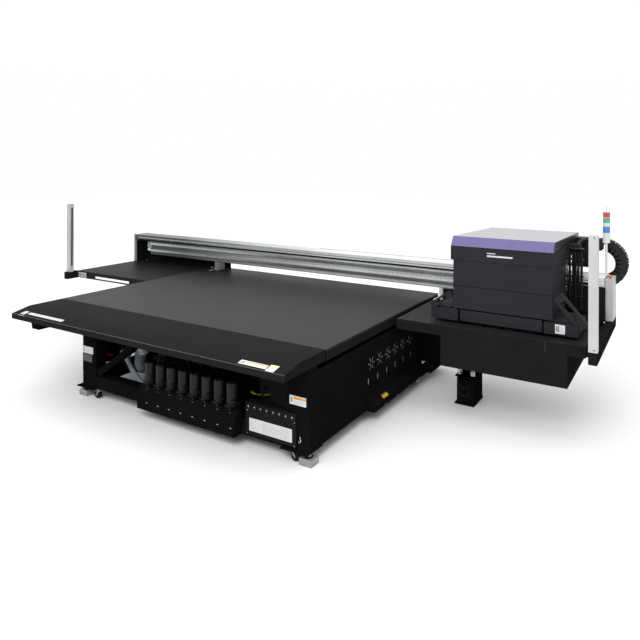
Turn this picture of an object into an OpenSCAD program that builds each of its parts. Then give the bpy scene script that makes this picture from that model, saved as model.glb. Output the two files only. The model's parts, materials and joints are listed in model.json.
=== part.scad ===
// Flatbed UV printer: a fixed vacuum table on a steel base, and a gantry that travels over it.
// Every dimension is in millimetres. Inside the modules, x = 0 is the table's right edge, y = 0 is
// the crease where the front cover begins, and z = 0 is the floor. placed() moves all of it so
// that the model's origin is the centre of its footprint.

/* [Table] */
// Width of the table, left to right
table_w = 2790; // [2740:10:2820]
// Depth of the flat table behind the front cover
table_d = 1875; // [1850:5:1900]
// Height of the table's surface above the floor
table_h = 680; // [670:1:690]
// Thickness of the table plate
plate_t = 14; // [10:1:16]
// Height of the skirt round the table's edge
skirt_h = 76; // [70:1:80]

/* [Front cover] */
// Flat part of the cover, in front of the table
cover_flat = 286; // [260:1:300]
// Depth of the sloping part
cover_run = 146; // [120:1:160]
// Fall of the sloping part
cover_fall = 34; // [25:1:40]
// Height of the lip at the front edge
cover_lip = 42; // [35:1:50]

/* [Base] */
// Width of the base under the table
base_w = 2240; // [2200:10:2280]
// Depth of the base
base_d = 1648; // [1600:1:1650]
// How far the base's front stands ahead of the crease
base_front = 168; // [150:1:180]
// Height of the base's underside
base_clear = 78; // [74:1:80]
// Diameter of the caster wheels
wheel_d = 58; // [52:1:58]

/* [Ink and vacuum] */
// Diameter of the ink bottle covers
bottle_d = 80; // [70:1:100]
// Height of the ink bottle covers
bottle_h = 145; // [130:1:160]
// Distance between neighbouring bottles
bottle_pitch = 115; // [110:1:118]
// Distance between neighbouring valve levers
lever_pitch = 50.7; // [46:0.1:52]

/* [Gantry] */
// Height of the gantry beam's top
beam_top = 1010; // [1005:1:1014]
// Front to back depth of the gantry beam
beam_d = 180; // [160:5:180]
// Height of the light curtain posts above the table
post_h = 746; // [700:1:780]
// Length of the left wing
wing_w = 1126; // [1090:2:1140]

/* [Station] */
// Width of the lower box of the right station
station_w = 907; // [880:1:910]
// Height of the underside of the lower box
station_z = 380; // [370:1:400]

/* [Carriage] */
// Width of the carriage hood
hood_w = 754; // [740:1:760]
// Top of the carriage at its front
hood_top = 1332; // [1322:1:1340]
// Outer radius of the cable chain's loop
chain_r = 194; // [180:1:200]
// Radial thickness of the cable chain
chain_t = 96; // [80:1:100]

/* [Hidden] */
$fn = 48;
SHEET = 3;            // thickness of bent sheet parts
SLIP = 1;             // gap between members of one welded frame
BOTTLES = 8;
LEVERS = 8;
VENTS = 6;

// Outer limits that several parts share
left_x = -3966;       // left arm's outer side
right_x = 1616;       // cable chain's right side
rear_y = 2020;        // back of the carriage hood
front_y = -cover_flat - cover_run;
centre = [(left_x + right_x) / 2, (front_y + rear_y) / 2, 0];

skirt_z = table_h - skirt_h;
base_l = -10 - base_w;
base_r = -10;
base_f = -base_front;
base_b = base_f + base_d;
frame_top = skirt_z - 2;

wing_l = -2800 - wing_w;
wing_r = -2800;
wing_f = 893;
wing_b = 1800;
beam_f = 1625;
beam_b = beam_f + beam_d;
beam_l = -3896;
beam_r = 1466;
rail_l = beam_l + 274; // left end of the carriage rails
profile_z = 782;      // underside of the lower extrusion
band_l = 59;          // left end of the station's upper band
band_r = 1445;        // its right end
box_l = 422;          // left side of the station's lower box
box_r = box_l + station_w;
arm_l = 1474;         // right arm's inner side
arm_r = 1529;
arm_f = 786;

car_f = 993;          // carriage front
car_l = 462;
car_r = car_l + hood_w;
body_l = 482;         // narrower body below the hood
body_r = 1210;
rail_z = [838, 915];  // heights of the two carriage rails
rail_h = 24;
rail_t = 22;

chain_x = right_x - chain_r;
chain_z = 1088;
chain_y = [1850, 1945];

// ---- helpers -------------------------------------------------------------------------------

module placed() translate(-centre) children();

// A box between two corners
module block(lo, hi) translate(lo) cube(hi - lo);

// A rectangular steel tube along one axis (0 = x, 1 = y, 2 = z), open at both ends
module tube(lo, hi, along, wall = 5) {
    inset = [for (i = [0:2]) i == along ? -1 : wall];
    difference() {
        block(lo, hi);
        block(lo + inset, hi - inset);
    }
}

// An outline in the y-z plane, extruded from x0 to x1
module along_x(x0, x1) translate([x0, 0, 0]) rotate([90, 0, 90]) linear_extrude(x1 - x0) children();

// An outline in the x-z plane, extruded from y0 to y1
module along_y(y0, y1) translate([0, y1, 0]) rotate([90, 0, 0]) linear_extrude(y1 - y0) children();

module rod_y(x, z, y0, y1, r) translate([x, y1, z]) rotate([90, 0, 0]) cylinder(h = y1 - y0, r = r);

module rod_x(y, z, x0, x1, r) translate([x0, y, z]) rotate([0, 90, 0]) cylinder(h = x1 - x0, r = r);

// A box of sheet metal with one side left open: side 0 = underside, 1 = rear
module sheet_box(lo, hi, open_side = 0) {
    gap = [SHEET, SHEET, SHEET];
    below = open_side == 0 ? [0, 0, 2 * SHEET] : [0, 0, 0];
    behind = open_side == 1 ? [0, 2 * SHEET, 0] : [0, 0, 0];
    difference() {
        block(lo, hi);
        block(lo + gap - below, hi - gap + behind);
    }
}

// ---- base ----------------------------------------------------------------------------------

COL_W = 163;          // width of a corner column
COL_D = 96;
BEAM_H = 97;          // height of the lower beams
beam_z = base_clear + BEAM_H;
UPPER_Z = 490;        // underside of the upper beams

module column(x0, y0, top) tube([x0, y0, base_clear], [x0 + COL_W, y0 + COL_D, top], 2);

module base_frame() color("#1d1e20") placed() {
    col_x = [base_l + SHEET + SLIP, base_r - SHEET - SLIP - COL_W];
    col_y = [base_f, base_b - SHEET - SLIP - COL_D];
    // The rear right column stops under the feed beam
    for (i = [0, 1], j = [0, 1]) column(col_x[i], col_y[j], i + j == 2 ? UPPER_Z : frame_top);
    x_in = [col_x[0] + COL_W + SLIP, col_x[1] - SLIP];
    for (y = col_y) {
        tube([x_in[0], y, base_clear], [x_in[1], y + COL_D, beam_z], 0);
        tube([x_in[0], y, UPPER_Z], [x_in[1], y + COL_D, frame_top], 0);
    }
    y_in = [col_y[0] + COL_D + SLIP, col_y[1] - SLIP];
    for (x = [col_x[0], -1300, col_x[1] + 60]) {
        tube([x, y_in[0], base_clear], [x + 100, y_in[1], beam_z], 1);
    }
    for (x = [col_x[0], -1300, col_x[1] - 60]) {
        tube([x, y_in[0], UPPER_Z], [x + 100, y_in[1], frame_top], 1);
    }
    // Diagonal brace across the open left bay, and its twin at the back
    for (y = [base_f + 6, base_b - 60]) {
        translate([x_in[0] + 30, y, 177]) rotate([0, -34, 0]) cube([480, 48, 50]);
    }
    foot_plates();
    // Fixed forks of the two rear casters
    for (i = [0, 1]) caster_fork(caster_x[i], caster_y[1], TRAIL[i]);
}

FOOT_Z = [70, base_clear - SLIP];
foot_x = [-2292, -222];
foot_w = 214;
pad_x = [-2226, -32];
pad_y = [-142, 1395];
SCREW_R = 10;

module foot_plates() {
    for (i = [0, 1], y = [-190, 1350]) difference() {
        block([foot_x[i], y, FOOT_Z[0]], [foot_x[i] + foot_w, y + 165, FOOT_Z[1]]);
        for (yy = pad_y) translate([pad_x[i], yy, 0]) cylinder(h = 200, r = SCREW_R + 1);
    }
}

PAD = [95, 78, 44];

module levelling_feet() color("#b9bcbd") placed() for (x = pad_x, y = pad_y) translate([x, y, 0]) {
    union() {
        translate([-PAD[0] / 2, -PAD[1] / 2, 0]) cube(PAD);
        translate([0, 0, PAD[2] - 1]) cylinder(h = 32, r = SCREW_R);
        translate([0, 0, PAD[2] + 8]) cylinder(h = 14, r = 19, $fn = 6);
    }
}

// A six-armed vent: slots that run outwards from a blank centre
module star_vent(y, z) translate([base_r - 10, y, z]) rotate([0, 90, 0])
    for (a = [0:60:359]) rotate(a + 30) translate([13, -5, 0]) cube([39, 10, 20]);

module side_panel_right() color("#202226") placed() difference() {
    block([base_r - SHEET, base_f, base_clear], [base_r, base_b, 572]);
    for (i = [0:VENTS - 1]) {
        star_vent(622 + i * 131, 403);
        translate([base_r - 10, 577 + i * 144 - 6, 256]) cube([20, 12, 46]);
    }
}

module base_panels() color("#1b1c1e") placed() {
    block([base_l, base_f, 196], [base_l + SHEET, base_b, frame_top]);
    difference() {
        block([base_l + SHEET + SLIP, base_b - SHEET, 178], [-182, base_b, frame_top]);
        for (x = [-2000:260:-1200], z = [240:40:400]) block([x, base_b - 10, z], [x + 180, base_b + 10, z + 10]);
    }
}

module side_service_box() color("#222427") placed() difference() {
    along_y(545, 1470) polygon([[base_r, 78], [60, 78], [60, 118], [base_r, 176]]);
    translate([0, SHEET, 0]) along_y(545, 1470 - 2 * SHEET)
        polygon([[base_r - 5, 70], [57, 70], [57, 116], [base_r - 5, 176]]);
    // Hand and cable gaps in the lower edge
    for (y = [700, 900, 1110, 1300]) block([50, y, 70], [70, y + 30, 90]);
}

// ---- table ---------------------------------------------------------------------------------

module table_bearers() color("#26282a") placed() {
    for (y = [60, 470, 900, 1330, 1740])
        tube([-table_w + 12, y, frame_top + 1.5], [-12, y + 60, table_h - plate_t - SLIP], 0);
    // Outrigger straps that carry the front cover
    for (x = [-2600, -1400, -200])
        tube([x, front_y + 30, skirt_z + 6], [x + 50, 55, table_h - cover_fall - 12], 1);
}

module table_plate() color("#3a3a3a") placed()
    block([-table_w, 0, table_h - plate_t], [0, table_d, table_h]);

module table_skirts() color("#2a2b2d") placed() {
    z = [skirt_z, table_h - plate_t - 0.5];
    for (x = [-table_w, -SHEET]) block([x, 1, z[0]], [x + SHEET, table_d - SHEET - SLIP, z[1]]);
    block([-table_w, table_d - SHEET, z[0]], [0, table_d, z[1]]);
    // Gusset plates that close the two ends of the front cover
    for (x = [-table_w + SHEET + SLIP, -2 * SHEET - SLIP]) along_x(x, x + SHEET) polygon([
        [-4, table_h - 5], [-cover_flat, table_h - 5], [front_y + 5, table_h - cover_fall - 6],
        [front_y + 5, skirt_z + 3], [-cover_flat, skirt_z + 3], [-4, skirt_z + 3]]);
}

module front_cover() color("#2b2c2e") placed() along_x(-table_w, 0) difference() {
    polygon([[-1, table_h], [-cover_flat, table_h], [front_y, table_h - cover_fall],
        [front_y, table_h - cover_fall - cover_lip], [-1, skirt_z]]);
    polygon([[0, table_h - SHEET], [-cover_flat, table_h - SHEET], [front_y + SHEET, table_h - cover_fall - SHEET],
        [front_y + SHEET, 500], [0, 500]]);
}

// Outline of the left feed beam: a channel with sloping sides
module hat(x, z, w, h) polygon([[x - w / 2, z], [x - w / 3.2, z - h], [x + w / 3.2, z - h], [x + w / 2, z]]);

FEED_X = [-2680, -86];
FEED_BOTTOM = 498;

module feed_beams() color("#1f2022") placed() {
    difference() {
        along_y(front_y + 130, 1780) hat(FEED_X[0], skirt_z - 1, 150, skirt_z - 1 - FEED_BOTTOM);
        along_y(front_y + 140, 1790) hat(FEED_X[0], skirt_z + 5, 142, skirt_z - 1 - FEED_BOTTOM);
    }
    tube([FEED_X[1] - 45, 80, 492], [FEED_X[1] + 45, 1780, 552], 1);
}

RAIL = [20, 14];      // width and height of the guide rails under the table

module feed_rails() color("#9aa0a3") placed() {
    block([FEED_X[0] - RAIL[0] / 2, -60, FEED_BOTTOM - RAIL[1]], [FEED_X[0] + RAIL[0] / 2, 1770, FEED_BOTTOM]);
    block([FEED_X[1] - RAIL[0] / 2, 90, 552], [FEED_X[1] + RAIL[0] / 2, 1770, 552 + RAIL[1]]);
}

// ---- ink, vacuum and electrics -------------------------------------------------------------

tray_x = [-1505, -560];
TRAY_F = -240;        // front of the ink tray
DECK_Z = 238;         // height of the shelf that the bottles stand on
bottle_x = -1451;
BOTTLE_Y = -163;
STEM = 24;            // height of the stem under each bottle cover

module ink_tray() color("#1c1d1f") placed() difference() {
    along_x(tray_x[0], tray_x[1])
        polygon([[base_f + 55, 74], [TRAY_F, 74], [TRAY_F, 192], [TRAY_F + 30, DECK_Z], [base_f + 55, DECK_Z]]);
    along_x(tray_x[0] + SHEET, tray_x[1] - SHEET)
        polygon([[base_f + 80, 60], [TRAY_F + SHEET, 60], [TRAY_F + SHEET, 191], [TRAY_F + 32, DECK_Z - SHEET],
            [base_f + 80, DECK_Z - SHEET]]);
    block([tray_x[0] - 5, base_f - 1, 60], [tray_x[1] + 5, base_f + 80, beam_z + SLIP]);
    // Screw slots along the front
    for (i = [0:BOTTLES - 1]) block([bottle_x + 50 + i * bottle_pitch, TRAY_F - 5, 126],
        [bottle_x + 76 + i * bottle_pitch, TRAY_F + 5, 138]);
}

module bottle_cover() {
    r = bottle_d / 2;
    rotate_extrude($fn = 64) polygon([[0, 6], [r - 8, 6], [r - 8, 0], [r, 0], [r, bottle_h - 12], [r - 3, bottle_h - 4],
        [r - 12, bottle_h], [0, bottle_h]]);
    translate([0, 0, 1 - STEM]) cylinder(h = STEM + 6, r = 24);
}

module ink_bottle_covers() color("#2c2d30") placed() for (i = [0:BOTTLES - 1])
    translate([bottle_x + i * bottle_pitch, BOTTLE_Y, DECK_Z + STEM]) bottle_cover();

panel_x = [-515, -100];
PANEL_F = -180;       // front of the valve panel
panel_z = [98, 304];
LEVER_Z = 285;
LEVER_R = 4;

module valve_panel() color("#24262a") placed() difference() {
    union() {
        block([panel_x[0], PANEL_F, panel_z[0]], [panel_x[1], PANEL_F + 4, panel_z[1]]);
        block([panel_x[0] + 2, PANEL_F + 3, panel_z[0] + 2], [panel_x[1] - 79, base_f - SLIP, panel_z[1] - 2]);
        block([panel_x[0] + 2, base_f - 2, beam_z + 2], [panel_x[1] - 79, base_f + 50, panel_z[1] - 2]);
    }
    block([panel_x[0] + 5, PANEL_F + 4, panel_z[0] + 5], [panel_x[1] - 82, base_f - 4, beam_z - 1]);
    block([panel_x[0] + 5, PANEL_F + 4, beam_z + 5], [panel_x[1] - 82, base_f + 47, panel_z[1] - 5]);
    for (i = [0:LEVERS - 1]) rod_y(lever_x(i), LEVER_Z, PANEL_F - 5, PANEL_F + 30, LEVER_R + 0.05);
}

function lever_x(i) = -482 + i * lever_pitch;

module valve_lever(i) color("#c9ccce") placed() {
    union() {
        rod_y(lever_x(i), LEVER_Z, PANEL_F - 4, PANEL_F + 7, LEVER_R);
        rod_y(lever_x(i), LEVER_Z, PANEL_F - 9, PANEL_F - 1, 6.5);
        block([lever_x(i) - 3, PANEL_F - 9, LEVER_Z - 16], [lever_x(i) + 3, PANEL_F - 3, LEVER_Z]);
    }
}

BLOWER = [-1780, 520, 330];

module vacuum_unit() color("#3b4046") placed() {
    // Ring blower and its motor, each on a foot of the plate that bridges two lower beams
    top = beam_z + 10;
    block([base_l + 20, BLOWER[1] + 30, beam_z + 0.5], [-1292, BLOWER[1] + 320, top]);
    rod_y(BLOWER[0], BLOWER[2], BLOWER[1], BLOWER[1] + 110, 144);
    rod_y(BLOWER[0], BLOWER[2], BLOWER[1] + 111, BLOWER[1] + 360, 95);
    for (x = [-75, 25]) block([BLOWER[0] + x, BLOWER[1] + 180, top + SLIP], [BLOWER[0] + x + 50, BLOWER[1] + 300,
        BLOWER[2] - 96]);
    // Suction box under the table
    block([-2300, 560, UPPER_Z + 118], [-600, 860, table_h - plate_t - SLIP]);
}

// A pipe through a list of points, with a ball at each bend
module pipe(points, r) for (i = [0:len(points) - 2]) hull() {
    translate(points[i]) sphere(r = r, $fn = 20);
    translate(points[i + 1]) sphere(r = r, $fn = 20);
}

module vacuum_hoses() color("#7e8a94") placed() {
    union() pipe([[-1800, 471, 330], [-1795, 300, 270], [-1785, 110, 226], [-1770, 10, 270], [-1745, 0, 400],
        [-1700, 70, 520], [-1690, 300, 545], [-1690, 640, 556]], 46);
    union() pipe([[-1985, 0, 350], [-1917, 0, 280], [-1830, 0, 186], [-1740, 0, 130], [-1680, 24, 112]], 20);
}

// Cabinet for the mains supply, behind the base
rear_box = [[-900, base_b + SLIP, base_clear], [100, 1860, 486]];
inlet_x = -340;
INLET_Z = 240;

module control_cabinet() color("#26292c") placed() {
    difference() {
        block([-1290, 760, beam_z + 0.5], [-60, 1370, 470]);
        block([-1287, 763, beam_z + 4], [-63, 1367, 467]);
    }
    difference() {
        block(rear_box[0], rear_box[1]);
        block(rear_box[0] + [SHEET, SHEET, SHEET], rear_box[1] - [SHEET, SHEET, SHEET]);
    }
    // Power inlet
    block([inlet_x, rear_box[1][1] - 1, INLET_Z], [inlet_x + 80, rear_box[1][1] + 6, INLET_Z + 80]);
}

stand_x = [430, 588];
stand_y = [1172, 1398];

// Heights in the stand: top of the tube, of the block, and of the head plate
STAND_Z = [190, 215, 222];

module station_stand() color("#232527") placed() {
    x = [stand_x[0] + 14, stand_x[1] - 2];
    y = [stand_y[0] + 14, stand_y[1] - 14];
    block([stand_x[0], stand_y[0], 0], [stand_x[1], stand_y[1], 10]);
    tube([x[0], y[0], 9], [x[1], y[1], STAND_Z[0]], 2, 6);
    difference() {
        block([x[0], y[0], STAND_Z[0] - 1], [x[1], y[1], STAND_Z[1]]);
        block([x[0] + 16, y[0] - 5, STAND_Z[0] + 6], [x[1] - 16, y[1] + 5, STAND_Z[1] - 7]);
    }
    block([x[0] - 12, y[0] - 12, STAND_Z[1] - 1], [x[1] + 2, y[1] + 12, STAND_Z[2]]);
    for (xx = [x[0] + 16, x[1] - 22], yy = [y[0] + 26, y[1] - 26]) translate([xx, yy, STAND_Z[2] - 1]) {
        cylinder(h = station_z - STAND_Z[2] - 1, r = 10);
        for (z = [6, 24]) translate([0, 0, z]) cylinder(h = 10, r = 19, $fn = 6);
    }
}

// ---- casters -------------------------------------------------------------------------------

wheel_r = wheel_d / 2;
WHEEL_W = 22;
WHEEL_Z = wheel_r + 1.5;
caster_x = [-2076, -125];
caster_y = [-150, 1424];
TRAIL = [20, -20];    // how far the swivel pin stands from each wheel
AXLE_R = 4;

module caster_fork(x, y, trail) {
    side = sign(trail);
    difference() {
        union() {
            for (s = [-1, 1]) along_y(y + s * 15 - 1.5, y + s * 15 + 1.5) {
                translate([x, WHEEL_Z]) circle(r = 7.5);
                polygon([[x - side * 6, WHEEL_Z], [x + side * 6, WHEEL_Z], [x + trail + side * 3, 61],
                    [x + trail - side * 11, 61]]);
            }
            block([x + trail - 16, y - 16.5, 60], [x + trail + 16, y + 16.5, 63.5]);
            translate([x + trail, y, 62]) cylinder(h = 7.6, r = 14);
        }
        translate([x, y + 25, WHEEL_Z]) rotate([90, 0, 0]) cylinder(h = 50, r = AXLE_R + 0.05);
    }
}

module caster_wheel(x, y) color("#2a2a2a") placed() {
    union() {
        rod_y(x, WHEEL_Z, y - WHEEL_W / 2, y + WHEEL_W / 2, wheel_r);
        rod_y(x, WHEEL_Z, y - 18, y + 18, AXLE_R);
        rod_y(x, WHEEL_Z, y - 13, y + 13, 8);
    }
}

module caster_fork_1() color("#b0b3b5") placed() caster_fork(caster_x[0], caster_y[0], TRAIL[0]);
module caster_fork_2() color("#b0b3b5") placed() caster_fork(caster_x[1], caster_y[0], TRAIL[1]);

// ---- gantry --------------------------------------------------------------------------------

SLOT_Z = [944, 962];

// A groove cut into the front of an extrusion at height z
module groove(z, h, depth) translate([beam_f - 1, z]) square([depth + 1, h]);

module gantry_beam() color("#c4c8c8") placed() along_x(beam_l, beam_r) difference() {
    translate([beam_f, 944]) square([beam_d, beam_top - 944]);
    groove(993, 4, 6);
    groove(976, 5, 8);
    // Deep slot that the drive belt runs in
    groove(SLOT_Z[0], SLOT_Z[1] - SLOT_Z[0], 100);
    translate([beam_f + 24, 972]) square([beam_d - 36, beam_top - 982]);
}

module gantry_lower_profile() color("#a9b2b2") placed() along_x(rail_l - 20, beam_r - 10) difference() {
    translate([beam_f + rail_t + 2, profile_z]) square([beam_d - rail_t - 2, 943 - profile_z]);
    for (z = [868, 908]) translate([beam_f + rail_t, z]) square([8, 5]);
    translate([beam_f + rail_t, profile_z]) square([14, 10]);
    translate([beam_f + rail_t + 14, profile_z + 16]) square([beam_d - rail_t - 26, 912 - profile_z]);
}

module carriage_rails() color("#8d9496") placed() for (z = rail_z)
    along_x(rail_l, beam_r - 30) difference() {
        translate([beam_f + 1, z - rail_h / 2]) square([rail_t + 0.8, rail_h]);
        for (s = [-1, 1]) translate([beam_f + 11, z + s * rail_h / 2]) circle(r = 3, $fn = 24);
    }

module gantry_end_plates() color("#d3d5d4") placed() {
    block([beam_l - 18, beam_f, table_h + 1], [beam_l - SLIP, beam_b + 25, beam_top]);
    block([beam_r + SLIP, beam_f, 790], [beam_r + 7, beam_b, beam_top]);
    translate([beam_l - 9, beam_f + 12, beam_top - 1]) cylinder(h = 14, r = 6);
}

panel_r = -2500;      // right end of the black panel behind the beam's left part

module gantry_rear_panels() color("#17181a") placed() {
    block([beam_l, beam_b + SLIP, table_h + 1], [panel_r, beam_b + SLIP + SHEET, 930]);
    // Its lower strip, which closes the slit behind the left wing
    block([beam_l, beam_b + SLIP, table_h - 40], [wing_r - 4, beam_b + SLIP + SHEET, table_h + 2]);
    block([beam_l, beam_f + 26, table_h + 1], [beam_l + SHEET, beam_b, 930]);
    // Apron under the beam, behind the parked carriage
    block([leg_x[1] + 34, beam_f + 40, table_h + 1], [car_r + 15, beam_f + 40 + SHEET, profile_z - SLIP]);
    // Cover between the parked carriage and the right arm
    block([car_r + 16, beam_f - 24, table_h + 1], [beam_r + 11, beam_f - 4, SLOT_Z[0] - 6]);
    // Tray that the cable chain lies in, behind the beam
    difference() {
        block([-1400, beam_b + 10, 886], [chain_x, chain_y[1] + 12, 940]);
        block([-1398, beam_b + 12, 889], [chain_x + 10, chain_y[1] + 10, 950]);
    }
    block([-1400, beam_b + SLIP, 900], [chain_x, beam_b + 9, 930]);
}

leg_x = [-2600, 98, 1400];

module gantry_legs() color("#b7bab8") placed() for (x = leg_x) {
    w = x < -2000 ? 50 : 32;
    z0 = x < -2000 ? table_h + 6 : table_h + 1;
    tube([x, beam_f + 30, z0], [x + w, beam_b - 40, profile_z - SLIP], 2, 8);
    // Foot plate; the right leg's stops short of the cover in front of it
    block([x - 30, x > 1000 ? beam_f : beam_f - 30, z0], [x - SLIP, beam_b - 60, z0 + 9]);
}

ARM_H = 76;

module left_wing() color("#26282a") placed() {
    z = [table_h - 75, table_h];
    difference() {
        sheet_box([wing_l, wing_f, z[0]], [wing_r, wing_b, z[1]]);
        // Long window in the front face, with a thin lower lip
        block([-3612, wing_f - 5, z[0] + 15], [-3062, wing_f + 10, z[0] + 38]);
    }
}

module side_arms() color("#222426") placed() {
    block([left_x, arm_f - 22, table_h - ARM_H], [left_x + POST[0] + 2, wing_f - SLIP, table_h]);
    difference() {
        block([arm_l, arm_f, table_h - ARM_H - 4], [arm_r, 1850, table_h]);
        block([arm_l + 4, arm_f + 6, table_h - ARM_H - 10], [arm_r - 4, 1844, table_h - 4]);
    }
    // Brackets that tie the right arm to the station
    for (y = [920, 1500]) block([band_r + 1, y, table_h - ARM_H], [arm_l - 1, y + 60, table_h - 20]);
}

POST = [56, 48];

module light_post(x, slot_side) difference() {
    block([x, arm_f, table_h + 1], [x + POST[0], arm_f + POST[1], table_h + post_h]);
    sx = slot_side > 0 ? x + POST[0] - 4 : x - 4;
    block([sx, arm_f + 20, table_h + 64], [sx + 8, arm_f + 30, table_h + post_h - 40]);
    for (z = [table_h + 16, table_h + post_h - 16]) rod_y(x + POST[0] * 0.62, z, arm_f - 1, arm_f + 4, 3);
}

module light_posts() color("#d9dbda") placed() {
    light_post(left_x + 8, 1);
    light_post(arm_l + 1, -1);
}

module station_shell() color("#25272b") placed() {
    z = [table_h - 77, table_h - SHEET - 0.5];
    difference() {
        block([band_l, wing_f, z[0]], [band_r, wing_b, z[1]]);
        block([band_l + SHEET, wing_f + SHEET, z[0] + SHEET], [band_r - SHEET, wing_b - SHEET, z[1] + 5]);
        block([box_l + 40, wing_f + 60, z[0] - 5], [box_r - 40, 1560, z[0] + 10]);
        // Seam between the two front sections
        block([1182, wing_f - 2, z[0] - 1], [1184, wing_f + 1, z[1] + 1]);
    }
    difference() {
        block([box_l, wing_f + 1, station_z], [box_r, 1600, z[0] - SLIP]);
        block([box_l + SHEET, wing_f + 1 + SHEET, station_z + SHEET], [box_r - SHEET, 1600 - SHEET, z[0] + 5]);
    }
}

deck_open = [[520, 1010], [1150, 1540]];

module station_deck() color("#1e2022") placed() difference() {
    block([band_l, wing_f, table_h - SHEET], [band_r, wing_b, table_h]);
    block([deck_open[0][0], deck_open[0][1], table_h - 10], [deck_open[1][0], deck_open[1][1], table_h + 10]);
}

CAPS = [4, 2];

module capping_unit() color("#34373a") placed() {
    block([450, 940, table_h - 73], [1300, 1570, table_h - 60]);
    block([560, 1040, table_h - 61], [1110, 1500, table_h - 50]);
    for (i = [0:CAPS[0] - 1], j = [0:CAPS[1] - 1]) difference() {
        block([585 + i * 130, 1070 + j * 190, table_h - 50], [685 + i * 130, 1230 + j * 190, table_h - 6]);
        block([593 + i * 130, 1078 + j * 190, table_h - 30], [677 + i * 130, 1222 + j * 190, table_h + 5]);
    }
    block([560, 1455, table_h - 50], [1110, 1470, table_h - 4]);
}

estop = [1475, 1636, table_h + 1];
ESTOP_SIZE = [54, 200, 320];
button_at = [estop[0] + 27, estop[1] + 45, estop[2] + ESTOP_SIZE[2]];
BUTTON_R = 5;

module estop_box() color("#d2d4d2") placed() difference() {
    block(estop, estop + ESTOP_SIZE);
    block(estop + [4, 4, 4], estop + ESTOP_SIZE - [4, 4, 6]);
    translate(button_at - [0, 0, 30]) cylinder(h = 40, r = BUTTON_R + 0.05);
    for (z = [30, ESTOP_SIZE[2] - 110]) rod_y(estop[0] + 8, estop[2] + z, estop[1] - 1, estop[1] + 3, 3);
}

module estop_button() color("#e0521c") placed() translate(button_at) {
    union() {
        translate([0, 0, -16]) cylinder(h = 26, r = BUTTON_R);
        translate([0, 0, 9]) rotate_extrude($fn = 48) polygon([[0, 0], [15, 0], [20, 5], [20, 10], [14, 15], [0, 16]]);
    }
}

tower_at = [1463, 1780, beam_top];
POLE_R = 9;
LAMP_R = 27;
LAMP_Z = 253;         // underside of the lamp stack, above the beam
// Lower and upper faces of the blue, green and red lenses, above the beam
LENSES = [[333, 381], [412, 448], [455, 492]];

module tower_pole() color("#e4e6e4") placed() translate(tower_at) {
    cylinder(h = 6, r = 22);
    translate([0, 0, 5]) cylinder(h = LAMP_Z - 4, r = POLE_R);
    translate([0, 0, LAMP_Z]) cylinder(h = LENSES[0][0] - LAMP_Z - 0.5, r = LAMP_R);
    translate([0, 0, LENSES[0][1] + 0.5]) cylinder(h = LENSES[1][0] - LENSES[0][1] - 1, r = LAMP_R - 1);
    translate([0, 0, LENSES[1][1] + 0.5]) cylinder(h = LENSES[2][0] - LENSES[1][1] - 1, r = LAMP_R - 3);
    translate([0, 0, LENSES[2][1] + 0.5]) cylinder(h = 5, r = LAMP_R - 2);
    translate([0, 0, LENSES[2][1] + 5]) cylinder(h = 46, r = 6);
}

module tower_lamps() color("#3aa0dd") placed() translate(tower_at) for (z = LENSES)
    translate([0, 0, z[0]]) cylinder(h = z[1] - z[0], r = LAMP_R);

// One side link of the chain, as a sector of its loop
module sector(r_out, r_in, a0, a1) intersection() {
    difference() {
        circle(r = r_out, $fn = 120);
        circle(r = r_in, $fn = 120);
    }
    polygon([[0, 0], for (a = [a0, (a0 + a1) / 2, a1]) 1.5 * r_out * [cos(a), sin(a)]]);
}

LINK_A = 15;          // angle that one link takes in the loop
run_l = -1380;        // left end of the lower run
top_l = 1330;         // left end of the upper run

module cable_chain() color("#1a1a1b") placed() {
    r_mid = chain_r - chain_t / 2;
    along_y(chain_y[0], chain_y[1]) translate([chain_x, chain_z]) for (a = [-90:LINK_A:75])
        sector(chain_r, chain_r - chain_t, a + 0.4, a + LINK_A - 0.4);
    pitch = 52;
    for (x = [top_l:pitch:chain_x - pitch]) block([x, chain_y[0], chain_z + chain_r - chain_t],
        [min(x + pitch - 2, chain_x - 1), chain_y[1], chain_z + chain_r - 1]);
    block([run_l, chain_y[0], chain_z - chain_r + 1], [chain_x - 1, chain_y[1], chain_z - chain_r + chain_t]);
}

PULLEY_R = 28;
BELT_T = 2.4;
BELT_Z = [946, 960];  // the belt runs in the beam's slot
belt_mid = beam_f + 12 + PULLEY_R;
pulley_x = [beam_l + 50, beam_r - 50];

module drive_belt() color("#141415") placed() translate([0, 0, BELT_Z[0]]) linear_extrude(BELT_Z[1] - BELT_Z[0])
    difference() {
        belt_outline(PULLEY_R + 0.4 + BELT_T);
        belt_outline(PULLEY_R + 0.4);
    }

// The area that a belt round both pulleys would enclose
module belt_outline(r) {
    for (x = pulley_x) translate([x, belt_mid]) circle(r = r, $fn = 60);
    translate([pulley_x[0], belt_mid - r]) square([pulley_x[1] - pulley_x[0], 2 * r]);
}

module pulley(x) translate([x, belt_mid, 0]) difference() {
    union() {
        translate([0, 0, BELT_Z[0]]) cylinder(h = BELT_Z[1] - BELT_Z[0], r = PULLEY_R);
        translate([0, 0, SLOT_Z[0] + 0.5]) cylinder(h = SLOT_Z[1] - SLOT_Z[0] - 1, r = 10);
    }
    for (a = [0:72:359]) rotate(a) translate([18, 0, BELT_Z[0] - 5]) cylinder(h = 30, r = 4);
}

module drive_pulley() color("#9ea3a5") placed() pulley(pulley_x[1]);
module idler_pulley() color("#9ea3a5") placed() pulley(pulley_x[0]);

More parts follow.
